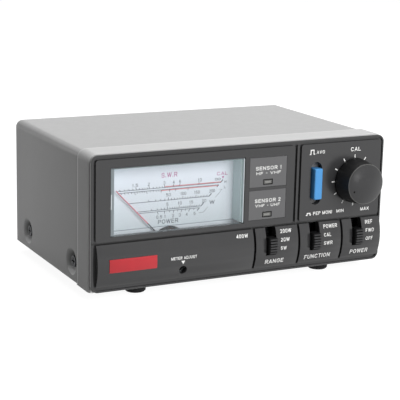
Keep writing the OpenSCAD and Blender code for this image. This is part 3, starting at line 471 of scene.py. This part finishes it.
def lens_moulding(name, colour, lens_highlight):
    """Smoky lenses, with a painted highlight along the middle of each."""
    made = gloss_moulding(name, colour, 0.4)
    low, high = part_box("sensor_lamps")
    inset, half, soft = 1.7, 0.35, 0.2
    width = (high.x - low.x) / MM
    across = made.band("X", low.x, inset, width - inset, soft)
    # A painted highlight along the middle of each lens
    for z in (low.z + LENS_HALF * MM, high.z - LENS_HALF * MM):
        made.coated(made.both(across, made.band("Z", z, -half, half, soft)), lens_highlight)
    return made


def circuit_board(name, colour):
    """Solder mask over faint tracks."""
    made = Finish(name, colour, 0.3, Specular_IOR_Level=0.5)
    tracks = made.node("ShaderNodeTexBrick", {"Scale": 90, "Mortar Size": 0.03}, offset=0.37)
    turned = made.node("ShaderNodeMapping", {"Rotation": (math.radians(90), 0, 0)})
    made.join(made.coords, turned, "Vector")
    made.join(turned.outputs["Vector"], tracks, "Vector")
    made.tinted(tracks.outputs["Fac"], colour, shade(colour, 1.7))
    return made.raised(tracks.outputs["Fac"], 0.03)


def cast(name, colour):
    """Bare cast metal."""
    return Finish(name, colour, 0.5, metallic=1.0).mottled(300, 0.12).grained(1500, 0.05)


# One finish for each slot of the record
STEEL = linear(190, 190, 192)
finishes = [
    cover_enamel("cover_paint", linear(220, 220, 220)),
    enamel("chassis_paint", linear(120, 120, 122)),
    panel_moulding("panel_plastic", linear(51, 51, 52)),
    brushed("black_screw", linear(30, 32, 36), 0.4),
    plated("steel_screw", STEEL, 0.3),
    rubber("foot_rubber", linear(42, 42, 43)),
    gloss_moulding("badge_red", linear(188, 44, 52), 0.35),
    moulding("meter_plastic", linear(186, 192, 196), 0.4),
    moulding("black_plastic", linear(26, 26, 27)),
    shroud_moulding("shroud_plastic", linear(207, 227, 227), linear(134, 142, 146)),
    clear("clear_pane", linear(240, 246, 250), 0.06),
    dial_enamel("dial_paint", linear(232, 238, 247), linear(203, 213, 218)),
    mask_moulding("mask_plastic", linear(218, 225, 231), linear(150, 159, 166)),
    enamel("bridge_grey", linear(196, 202, 204)),
    brushed("bronze", linear(176, 136, 84)),
    gloss_moulding("jewel", linear(150, 40, 80), 0.1),
    brushed("magnet", linear(96, 96, 100), 0.5),
    enamel("soft_iron", linear(172, 176, 180)),
    needle_paint("needle_red", linear(214, 112, 130), linear(90, 90, 96)),
    wound("copper_wire", linear(190, 110, 62)),
    brushed("bright_steel", STEEL, 0.25),
    clear("lamp_glass", linear(250, 244, 224), 0.35),
    spun_black("knob_black", linear(12, 12, 13), linear(52, 52, 53), linear(92, 92, 90)),
    lever_moulding("lever_black", linear(16, 16, 17), linear(66, 66, 67)),
    brushed("switch_frame", linear(150, 152, 156)),
    gloss_moulding("key_blue", linear(80, 155, 218), 0.4),
    moulding("plate_grey", linear(106, 106, 107), 0.55),
    lens_moulding("lens_smoke", linear(92, 92, 90), linear(138, 138, 135)),
    circuit_board("board_green", linear(30, 92, 52)),
    plated("nickel", linear(206, 204, 198), 0.22),
    moulding("insulator_white", linear(232, 228, 214), 0.45),
    plated("contact_brass", linear(212, 178, 98), 0.25),
    cast("cast_box", linear(190, 190, 190)),
    brushed("sheet_lid", linear(204, 204, 206)),
    moulding("lead_red", linear(176, 40, 32), 0.4),
]

# Finishes of the prints
white_ink = ink("white_ink", linear(250, 250, 248))
grey_ink = ink("grey_ink", linear(236, 236, 234))
black_ink = ink("black_ink", linear(84, 90, 100))
red_ink = ink("red_ink", linear(206, 82, 80))
violet_ink = ink("violet_ink", linear(186, 114, 160))
# A painted highlight for the pane's edges
pane_edge_highlight = gloss_moulding("pane_edge_highlight", linear(208, 214, 218), 0.2)

# Each piece takes its slot's finish; the plunger behind the key is paler than its slot
by_slot = {finish.name: finish.mat for finish in finishes}
for entry in frame["record"]["subparts"]:
    mesh = nodes[entry["node"]].data
    mesh.materials.clear()
    mesh.materials.append(by_slot[entry["material_slot"]])
nodes["mode_plunger"].data.materials[0] = moulding("plunger_grey", linear(112, 112, 113)).mat


# Soft edges on the pieces that show: the width of each in millimetres, and its steps

EDGES = {
    "top_cover": (0.25, 2), "front_panel": (0.3, 2), "mode_key": (0.85, 4), "cal_knob": (0.45, 4),
    "sensor_plates": (0.08, 2), "range_lever": (0.12, 2), "function_lever": (0.12, 2),
    "power_lever": (0.12, 2), "meter_shroud": (0.15, 2), "badge_plate": (0.1, 2),
    "socket_shells": (0.3, 2), "chassis": (0.2, 2), "dc_jack": (0.2, 2), "cover_screws": (0.2, 2),
    "socket_screws": (0.2, 2), "foot_screws": (0.2, 2), "sensor_lamps": (0.15, 2), "panel_nuts": (0.2, 2),
}


def soften(obj, width, steps):
    """Rounds the sharp edges after joining doubled points and flat faces."""
    weld = obj.modifiers.new("weld", "WELD")
    weld.merge_threshold = 1e-6
    flat = obj.modifiers.new("flat", "DECIMATE")
    flat.decimate_type = "DISSOLVE"
    flat.angle_limit = math.radians(0.5)
    bevel = obj.modifiers.new("edge", "BEVEL")
    bevel.width = width * MM
    bevel.segments = steps
    bevel.limit_method = "ANGLE"
    bevel.angle_limit = math.radians(35)
    bevel.use_clamp_overlap = True
    bevel.loop_slide = False
    bevel.harden_normals = True


for name, (width, steps) in EDGES.items():
    soften(nodes[name], width, steps)


# Letters as strokes on a grid of eighths: each pair of digits is a place across and a place up.
# The number before the strokes is the letter's width in cap heights; ~ rounds a stroke, o also closes it.

ALPHABET = {
    "A": (0.90, "00 48 80", "22 62"),
    "C": (0.86, "~86 78 08 00 70 82"),
    "D": (0.86, "00 08", "~08 48 88 80 40 00"),
    "E": (0.74, "80 00 08 88", "04 74"),
    "F": (0.70, "00 08 88", "04 64"),
    "G": (0.90, "~86 78 08 00 80 84", "84 54"),
    "H": (0.84, "00 08", "80 88", "04 84"),
    "I": (0.20, "00 08"),
    "J": (0.62, "88 83", "~83 80 00 02"),
    "L": (0.68, "08 00 80"),
    "M": (1.00, "00 08 40 88 80"),
    "N": (0.84, "00 08 80 88"),
    "O": (0.92, "o00 80 88 08"),
    "P": (0.78, "00 08", "~08 48 88 84 44 04"),
    "R": (0.82, "00 08", "~08 48 88 84 44 04", "44 80"),
    "S": (0.78, "~86 88 08 04 84 80 00 02"),
    "T": (0.78, "08 88", "48 40"),
    "U": (0.84, "08 03", "~03 00 80 83", "83 88"),
    "V": (0.84, "08 40 88"),
    "W": (1.16, "08 20 48 60 88"),
    "X": (0.84, "00 88", "08 80"),
    "0": (0.66, "o00 80 84 88 08 04"),
    "1": (0.44, "26 58 50"),
    "2": (0.66, "~06 08 88 85 00", "00 80"),
    "3": (0.66, "~06 08 88 84 44", "~44 84 80 00 02"),
    "4": (0.70, "60 68 02 82"),
    "5": (0.66, "78 18 04", "~04 35 85 80 00 02"),
    ".": (0.18, "00 01"),
    "-": (0.40, "04 84"),
    " ": (0.30,),
}
GRID = 8
LETTER_GAP = 0.22
CURVE_STEPS = 4


def rounded(points):
    """A smooth line from the first point to the last that bends inside the corners between them."""
    path = [points[0]]
    for i in range(1, len(points) - 1):
        start, corner = path[-1], points[i]
        stop = points[i + 1] if i == len(points) - 2 else (corner + points[i + 1]) / 2
        for step in range(1, CURVE_STEPS + 1):
            t = step / CURVE_STEPS
            path.append(start.lerp(corner, t).lerp(corner.lerp(stop, t), t))
    return path


# Prints

class Print:
    """Ink laid on one surface: flat shapes in X and Z that are given a thickness."""

    def __init__(self, name, depth_at, finish, facing=1):
        self.name = name
        self.depth_at = depth_at
        self.finish = finish
        self.facing = facing
        self.strokes = 0
        self.mesh = bmesh.new()

    def point(self, x, z, lift):
        """A corner that far above the surface."""
        return self.mesh.verts.new(place(x, self.depth_at(z) - self.facing * lift, z))

    def outline(self, points):
        """A filled outline."""
        face = [self.point(x, z, INK_T) for x, z in points]
        back = [self.point(x, z, 0) for x, z in points]
        self.mesh.faces.new(face)
        self.mesh.faces.new(back[::-1])
        for i in range(len(points)):
            j = (i + 1) % len(points)
            self.mesh.faces.new((face[i], back[i], back[j], face[j]))

    def path(self, points, width, closed=False):
        """A line of one width through several points, with mitred corners.

        Lines that cross have different thicknesses, so that no two faces lie in one plane."""
        self.strokes += 1
        lift = INK_T + self.strokes % INK_STEPS * INK_STEP
        points = [Vector(p) for p in points]
        last = len(points) - 1
        ways = [(b - a).normalized() for a, b in zip(points, points[1:] + points[:1])]
        rows = []
        for i, middle in enumerate(points):
            before = ways[i - 1] if closed or i > 0 else ways[0]
            after = ways[i] if closed or i < last else before
            side = (before + after).normalized().orthogonal()
            side *= width / 2 / side.dot(before.orthogonal())
            edges = (middle + side, middle - side)
            rows.append([self.point(*edges[0], lift), self.point(*edges[1], lift),
                         self.point(*edges[1], 0), self.point(*edges[0], 0)])
        if not closed:
            self.mesh.faces.new(rows[0])
            self.mesh.faces.new(rows[-1])
        for here, there in zip(rows, rows[1:] + rows[:1] if closed else rows[1:]):
            for k in range(4):
                self.mesh.faces.new((here[k - 1], here[k], there[k], there[k - 1]))

    def line(self, a, b, width):
        """A straight line between two points."""
        self.path((a, b), width)

    def letter(self, strokes, x, z, width, height, weight):
        """One letter, whose lower left corner is at x and z."""
        room = Vector((width - weight, height - weight))
        inset = Vector((weight, weight)) / 2
        for stroke in strokes:
            pairs = stroke.lstrip("~o").split()
            shares = [Vector((int(across), int(up))) / GRID for across, up in pairs]
            points = [Vector((x, z)) + room * share + inset for share in shares]
            for point in points:
                point.x *= self.facing
            if stroke[0] == "o":
                seam = (points[0] + points[-1]) / 2
                self.path(rounded([seam] + points + [seam])[:-1], weight, closed=True)
            elif stroke[0] == "~":
                self.path(rounded(points), weight)
            else:
                for a, b in zip(points, points[1:]):
                    end = (b - a).normalized() * weight / 2
                    self.line(a - end, b + end, weight)

    def text(self, words, x, z, height, width=None, weight=0.18):
        """Words centred on x and z, with a cap height, a width and a stroke as a share of the height."""
        natural = sum(ALPHABET[c][0] + LETTER_GAP for c in words) - LETTER_GAP
        stretch = width / natural if width else height
        left = self.facing * x - natural * stretch / 2
        for c in words:
            wide, *strokes = ALPHABET[c]
            self.letter(strokes, left, z - height / 2, wide * stretch, height, weight * height)
            left += (wide + LETTER_GAP) * stretch

    def build(self):
        """Makes the print an object that rides the case."""
        bmesh.ops.recalc_face_normals(self.mesh, faces=self.mesh.faces)
        data = bpy.data.meshes.new(self.name)
        self.mesh.to_mesh(data)
        self.mesh.free()
        data.materials.append(self.finish.mat)
        obj = bpy.data.objects.new(self.name, data)
        bpy.context.scene.collection.objects.link(obj)
        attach(obj, "case")


# Labels on the flat pads: words, middle x, middle z, cap height, width, stroke as a share of the height
deck_print = Print("deck_lettering", level(0), white_ink)
for label in (
    ("CAL", KNOB_X + 0.3, 57.4, 2.0, 5.6, 0.17),
    ("MIN", KNOB_X - 7.2, 27.1, 1.6, 4.2, 0.19),
    ("MAX", KNOB_X + 7.2, 26.9, 1.6, 4.9, 0.19),
    ("AVG", KEY_X + 2.0, 57.2, 1.6, 4.6, 0.16),
    ("PEP MONI", KEY_X + 4.5, 27.0, 1.7, 10.8, 0.17),
):
    deck_print.text(*label)

# Ticks round the knob
TICKS = 12
TICK_R = (11.2, 12.8)
TICK_W = 0.48
for i in range(TICKS):
    angle = 2 * math.pi * i / TICKS
    ends = [(KNOB_X + r * math.sin(angle), DECK_Z + r * math.cos(angle)) for r in TICK_R]
    deck_print.line(*ends, TICK_W)

# Signs of the key let out and pressed in
SIGN_HALF = 1.45
SIGN_CAP = 0.812
SIGN_STROKE = 0.5


def key_sign(x, z, height):
    """Outline of a key seen from the side, standing on its line."""
    rise = ((-SIGN_HALF, 0), (-SIGN_CAP, 0), (-SIGN_CAP, height))
    fall = [(-dx, dz) for dx, dz in rise[::-1]]
    deck_print.path([(x + dx, z + dz) for dx, dz in (*rise, *fall)], SIGN_STROKE)


key_sign(KEY_X - 2.7, 56.4, height=2.0)
key_sign(KEY_X - 3.5, 26.4, height=0.9)
deck_print.build()

# Labels on the two sensor plates, each with a cap height, a width and a stroke
PLATE_TITLE = (1.8, 14.0, 0.19)
PLATE_BAND = (1.4, 13.4, 0.21)
PLATE_LINE = 2.4
PLATE_MID = PLATE_X + 0.2
plate_print = Print("plate_lettering", level(0), grey_ink)
for number, span, z in (("1", "HF - VHF", 51.6), ("2", "VHF - UHF", 35.9)):
    plate_print.text("SENSOR " + number, PLATE_MID, z, *PLATE_TITLE)
    plate_print.text(span, PLATE_MID, z - PLATE_LINE, *PLATE_BAND)
plate_print.build()

# Labels on the bulged pads: the three settings of each lever with their widths, and its name
SETTING_Z = (20.2, 16.2, 12.1)
SETTING_GAP = 5.15
SETTING_H = 1.75
SETTING_STROKE = 0.155
NAME_Z = 5.85
NAME_H = 2.15
NAME_STROKE = 0.165
ADJUST_ARROW = ((-1.2, 11.6), (-0.2, 9.9), (0.8, 11.6))
pad_print = Print("pad_lettering", bulged_front, white_ink)
for lever_x, settings, name, name_dx, name_w in (
    (RANGE_X, (("200W", 6.2), ("20W", 4.9), ("5W", 3.3)), "RANGE", 2.3, 10.1),
    (FUNCTION_X, (("POWER", 7.8), ("CAL", 4.1), ("SWR", 4.9)), "FUNCTION", 2.1, 14.6),
    (POWER_X, (("REF", 4.3), ("FWD", 4.8), ("OFF", 4.2)), "POWER", 2.0, 10.4),
):
    for (words, width), z in zip(settings, SETTING_Z):
        middle_x = lever_x + SETTING_GAP + width / 2
        pad_print.text(words, middle_x, z, SETTING_H, width, SETTING_STROKE)
    pad_print.text(name, lever_x + name_dx, NAME_Z, NAME_H, name_w, NAME_STROKE)
pad_print.text("400W", RANGE_X - 15.7, 19.9, 1.7, 6.2, 0.17)
pad_print.text("METER ADJUST", ADJUST_X + 0.2, ADJUST_Z + 6.0, 1.4, 13.2, 0.16)
pad_print.outline([(ADJUST_X + x, z) for x, z in ADJUST_ARROW])
pad_print.build()

# Labels on the rear wall, over the sockets and the inlet
REAR_H = 2.0
SOCKET_Z = 46.5
INLET_Z = 39.5
rear_print = Print("rear_lettering", level(REAR_Y), white_ink, facing=-1)
for side in (-1, 1):
    for x, words in ((21, "ANT"), (57, "TX")):
        rear_print.text(words, side * x, SOCKET_Z, REAR_H)
rear_print.text("DC", 0, INLET_Z, REAR_H)
rear_print.build()


# Dial print: straight scales whose marks point at the pivot

def on_ray(share, z):
    """Place at height z where the needle points at that share of its swing."""
    return PIVOT_X + (z - PIVOT_Z) * math.tan((share - 0.5) * SWING), z


def standing_wave(ratio):
    """Reflected share of the voltage at a standing-wave ratio."""
    return (ratio - 1) / (ratio + 1)


def power_of(full):
    """Share of the full-scale voltage at a power."""
    return lambda watts: math.sqrt(watts / full)


class Scale:
    """A scale line at height z with its marks on one side.

    The detector bends the law of the reading; a few values are set at shares of their own."""

    def __init__(self, z, side, reading, bend, own=None):
        self.z = z
        self.side = side
        self.reading = reading
        self.bend = bend
        self.own = own or {}

    def share(self, value):
        """Share of the needle's swing at a value."""
        return self.own.get(value, self.reading(value) ** self.bend)

    def line(self, ink_print, start, width, lift=0):
        """A line from a share of the swing to the end, moved out from the marks' line by the lift."""
        z = self.z + self.side * lift
        ink_print.line(on_ray(start, z), on_ray(1, z), width)

    def mark(self, ink_print, share, length, width):
        """One mark at a share of the swing."""
        ink_print.line(on_ray(share, self.z), on_ray(share, self.z + self.side * length), width)

    def marks(self, ink_print, values, length, width):
        """A mark at each value."""
        for value in values:
            self.mark(ink_print, self.share(value), length, width)

    def numbers(self, ink_print, values, gap, lean):
        """Writes each value that far beyond the line, and a share of the way along its ray."""
        for value in values:
            x = on_ray(self.share(value), self.z + self.side * gap * lean)[0]
            width = LONG_NUMBER if len(str(value)) > 2 else None
            ink_print.text(str(value), x, self.z + self.side * gap, NUMERAL, width, NUMERAL_STROKE)


# Widths of the dial's lines, the ratio where red begins, lengths of its marks, and its numbers
DIAL_LINE = 0.25
FINE_LINE = 0.14
RED_LINE = 0.32
RED_LIFT = 0.4
RED_FROM = 3
MARK = 0.27
END_MARK = 0.45
LONG_MARK = 1.25
SHORT_MARK = 0.75
NUMERAL = 1.5
NUMERAL_STROKE = 0.13
LONG_NUMBER = 2.9

dial_black = Print("dial_print_black", level(DIAL_Y), black_ink)
dial_red = Print("dial_print_red", level(DIAL_Y), red_ink)
dial_violet = Print("dial_print_violet", level(DIAL_Y), violet_ink)

# Scales: height, side of the marks, law of the reading, its bend, and values at shares of their own
swr_high = Scale(44.05, 1, standing_wave, 1.17, {10: 0.823})
swr_low = Scale(43.15, -1, standing_wave, 1.33, {10: 0.734})
watts_high = Scale(37.95, 1, power_of(200), 1.03)
watts_mid = Scale(33.6, 1, power_of(20), 1.08)
watts_low = Scale(32.85, -1, power_of(5), 1.11)

RATIOS = (1.5, 2, 3, 4, 5, 10)
for scale in (swr_high, swr_low):
    scale.line(dial_black, 0, DIAL_LINE)
    scale.line(dial_red, scale.share(RED_FROM), RED_LINE, RED_LIFT)
    scale.marks(dial_black, RATIOS, LONG_MARK, MARK)
    scale.marks(dial_black, [1 + i / 10 for i in range(1, 10)], SHORT_MARK, MARK)
    scale.marks(dial_black, [2 + i / 5 for i in range(1, 5)], SHORT_MARK, MARK)
swr_high.numbers(dial_black, RATIOS, gap=2.2, lean=0.7)

for scale, values, fine, gap, lean in (
    (watts_high, (50, 100, 150, 200), range(10, 200, 10), 2.5, 0.65),
    (watts_mid, (5, 10, 15, 20), range(1, 20), 2.4, 0.7),
    (watts_low, (0.5, 1, 2, 3, 4, 5), [i / 2 for i in range(3, 10, 2)], 2.6, 1),
):
    scale.line(dial_black, 0, DIAL_LINE)
    scale.marks(dial_black, values, LONG_MARK, MARK)
    scale.marks(dial_black, fine, SHORT_MARK, MARK)
    scale.numbers(dial_black, values, gap, lean)

# Heavy marks at the ends, the zero line, and the bracket round the power scales, open at its letter
END_MARKS = ((swr_high, 1.4), (swr_low, 1.0), (watts_high, 1.3), (watts_mid, 1.6), (watts_low, 1.3))
BRACKET = (((15.7, 30.4), (18.1, 30.5), (20.4, 32.9)), ((24.4, 37.2), (27.8, 40.8), (26.4, 40.9)))
ZERO_FOOT = 30.5
for scale, length in END_MARKS:
    scale.mark(dial_black, 1, length, END_MARK)
dial_black.line(on_ray(0, ZERO_FOOT), on_ray(0, swr_low.z), FINE_LINE)
for half in BRACKET:
    dial_black.path([(PIVOT_X + x, z) for x, z in half], FINE_LINE)

# Sign for no limit, over the end of the upper scale
LOOP_X = PIVOT_X + 25.4
LOOP_Z = 45.9
LOOP_HALF = 1.4
LOOP_LINE = 0.22
LOOP_STEPS = 32
loop = []
for i in range(LOOP_STEPS):
    t = 2 * math.pi * i / LOOP_STEPS
    r = LOOP_HALF / (1 + math.sin(t) ** 2)
    loop.append((LOOP_X + r * math.cos(t), LOOP_Z + r * math.sin(t) * math.cos(t)))
dial_black.path(loop, LOOP_LINE, closed=True)

# Words on the dial: print, words, middle x, middle z, cap height, width, stroke as a share of the height
CAL_ARROW = ((27.4, 47.1), (28.1, 45.9), (28.8, 47.1))
for ink_print, *label in (
    (dial_black, "H", PIVOT_X + 29.5, 44.3, 1.2, None, 0.15),
    (dial_black, "L", PIVOT_X + 29.2, 41.8, 1.2, None, 0.15),
    (dial_black, "W", PIVOT_X + 22.6, 35.0, 1.85, 2.7, 0.2),
    (dial_black, "POWER", PIVOT_X - 0.3, 27.85, 2.0, 10.4, 0.14),
    (dial_violet, "S.W.R", PIVOT_X, 49.9, 2.2, 8.1, 0.14),
    (dial_violet, "CAL", PIVOT_X + 27.7, 48.5, 1.65, 5.7, 0.15),
):
    ink_print.text(*label)
dial_violet.outline([(PIVOT_X + x, z) for x, z in CAL_ARROW])
for ink_print in (dial_black, dial_red, dial_violet):
    ink_print.build()

# Painted highlights on the pane's polished edges, where they catch the light: x, foot and top of each
EDGE_IN = 0.25
EDGE_W = 0.4
pane_left, pane_right = (corner.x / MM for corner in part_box("meter_shroud"))
edge_highlight_print = Print("pane_edge_highlights", level(SHROUD_Y), pane_edge_highlight)
for x, foot, top in ((pane_right - EDGE_IN, 26.4, 56.8), (pane_left + EDGE_IN, 38.3, 45.2)):
    edge_highlight_print.line((x, foot), (x, top), EDGE_W)
edge_highlight_print.build()


# Stage, light and camera

# The floor's size in metres, its grey to the light, its glow and grey where it is seen, and the world's light
FLOOR_HALF = 6.0
FLOOR_DROP = 0.0001
FLOOR_GREY = 0.27
SEEN_GLOW = 0.93
SEEN_GREY = 0.25
AMBIENT = 0.11
WHITE_TO = ("Is Camera Ray", "Is Glossy Ray", "Is Transmission Ray")


def white_share(tree):
    """1 for the rays that see a white background."""
    path = tree.nodes.new("ShaderNodeLightPath")
    total = path.outputs[WHITE_TO[0]]
    for kind in WHITE_TO[1:]:
        larger = tree.nodes.new("ShaderNodeMath")
        larger.operation = "MAXIMUM"
        tree.links.new(total, larger.inputs[0])
        tree.links.new(path.outputs[kind], larger.inputs[1])
        total = larger.outputs[0]
    return total


def mixed(tree, lighting, seen):
    """A shader that lights the object by one shader and shows another as the background."""
    mix = tree.nodes.new("ShaderNodeMixShader")
    tree.links.new(white_share(tree), mix.inputs[0])
    tree.links.new(lighting.outputs[0], mix.inputs[1])
    tree.links.new(seen.outputs[0], mix.inputs[2])
    return mix.outputs[0]


def floor_material():
    """White where it is seen, with the shadow kept; a plain grey surface to the light."""
    mat = bpy.data.materials.new("floor")
    mat.use_nodes = True
    tree = mat.node_tree
    tree.nodes.clear()
    out = tree.nodes.new("ShaderNodeOutputMaterial")
    greys = []
    for value in (FLOOR_GREY, SEEN_GREY):
        grey = tree.nodes.new("ShaderNodeBsdfDiffuse")
        grey.inputs["Color"].default_value = (value, value, value, 1)
        greys.append(grey)
    glow = tree.nodes.new("ShaderNodeEmission")
    glow.inputs["Strength"].default_value = SEEN_GLOW
    seen = tree.nodes.new("ShaderNodeAddShader")
    tree.links.new(greys[1].outputs[0], seen.inputs[0])
    tree.links.new(glow.outputs[0], seen.inputs[1])
    tree.links.new(mixed(tree, greys[0], seen), out.inputs["Surface"])
    return mat


def make_floor():
    """A wide sheet just under the feet."""
    signs = ((-1, -1), (1, -1), (1, 1), (-1, 1))
    data = bpy.data.meshes.new("floor")
    data.from_pydata([(x * FLOOR_HALF, y * FLOOR_HALF, 0) for x, y in signs], [], [range(4)])
    data.materials.append(floor_material())
    floor = bpy.data.objects.new("floor", data)
    floor.location.z = -FLOOR_DROP
    bpy.context.scene.collection.objects.link(floor)


def make_world():
    """A faint light from all round, and white where it is seen."""
    world = bpy.data.worlds.new("studio")
    bpy.context.scene.world = world
    world.use_nodes = True
    tree = world.node_tree
    faint = tree.nodes["Background"]
    white = tree.nodes.new("ShaderNodeBackground")
    for background, strength in ((faint, AMBIENT), (white, 1.0)):
        background.inputs["Color"].default_value = (1, 1, 1, 1)
        background.inputs["Strength"].default_value = strength
    tree.links.new(mixed(tree, faint, white), tree.nodes["World Output"].inputs["Surface"])


def softbox(name, location, size, watts, mirrored=False):
    """A square lamp that faces the object and shows in no reflection unless it is mirrored."""
    data = bpy.data.lights.new(name, "AREA")
    data.shape = "SQUARE"
    data.size = size
    data.energy = watts
    lamp = bpy.data.objects.new(name, data)
    lamp.location = location
    lamp.rotation_mode = "QUATERNION"
    lamp.rotation_quaternion = (LIT_PLACE - lamp.location).to_track_quat("-Z", "Y")
    lamp.visible_glossy = mirrored
    bpy.context.scene.collection.objects.link(lamp)
    return lamp


# The photograph's viewpoint: its place in millimetres, and its turn to the right, dip and roll in degrees
EYE = (-285.52, -507.80, 173.30)
HEADING = 27.25245
DIP = 13.21897
ROLL = 1.31957

# Its lens and the width of its sensor, in millimetres
LENS = 114.475
SENSOR = 36.0


def make_camera():
    """The camera at that viewpoint, with that lens."""
    data = bpy.data.cameras.new("camera")
    data.sensor_width = SENSOR
    data.lens = LENS
    data.clip_start = 0.01
    data.clip_end = 50.0
    camera = bpy.data.objects.new("camera", data)
    turn = Matrix.Rotation(math.radians(-HEADING), 4, "Z")
    tip = Matrix.Rotation(math.radians(90 - DIP), 4, "X")
    roll = Matrix.Rotation(math.radians(ROLL), 4, "Z")
    camera.matrix_world = Matrix.Translation(place(*EYE)) @ turn @ tip @ roll
    bpy.context.scene.collection.objects.link(camera)
    bpy.context.scene.camera = camera


# The lamps face this place
LIT_PLACE = Vector((0, 0, 0.03))
make_floor()
make_world()
softbox("overhead", (0.25, 0.25, 1.3), size=1.2, watts=15.5)
softbox("front_right", (0.42, -1.55, 0.6), size=1.2, watts=28)

# A lamp that shows as a glint on the knob alone
glint = softbox("glint", (0.13, -1.5, 0.28), size=0.3, watts=1.2, mirrored=True)
glint.visible_diffuse = False
glint.light_linking.receiver_collection = bpy.data.collections.new("glint_on")
glint.light_linking.receiver_collection.objects.link(nodes["cal_knob"])
make_camera()
bpy.context.scene.view_settings.view_transform = "Standard"
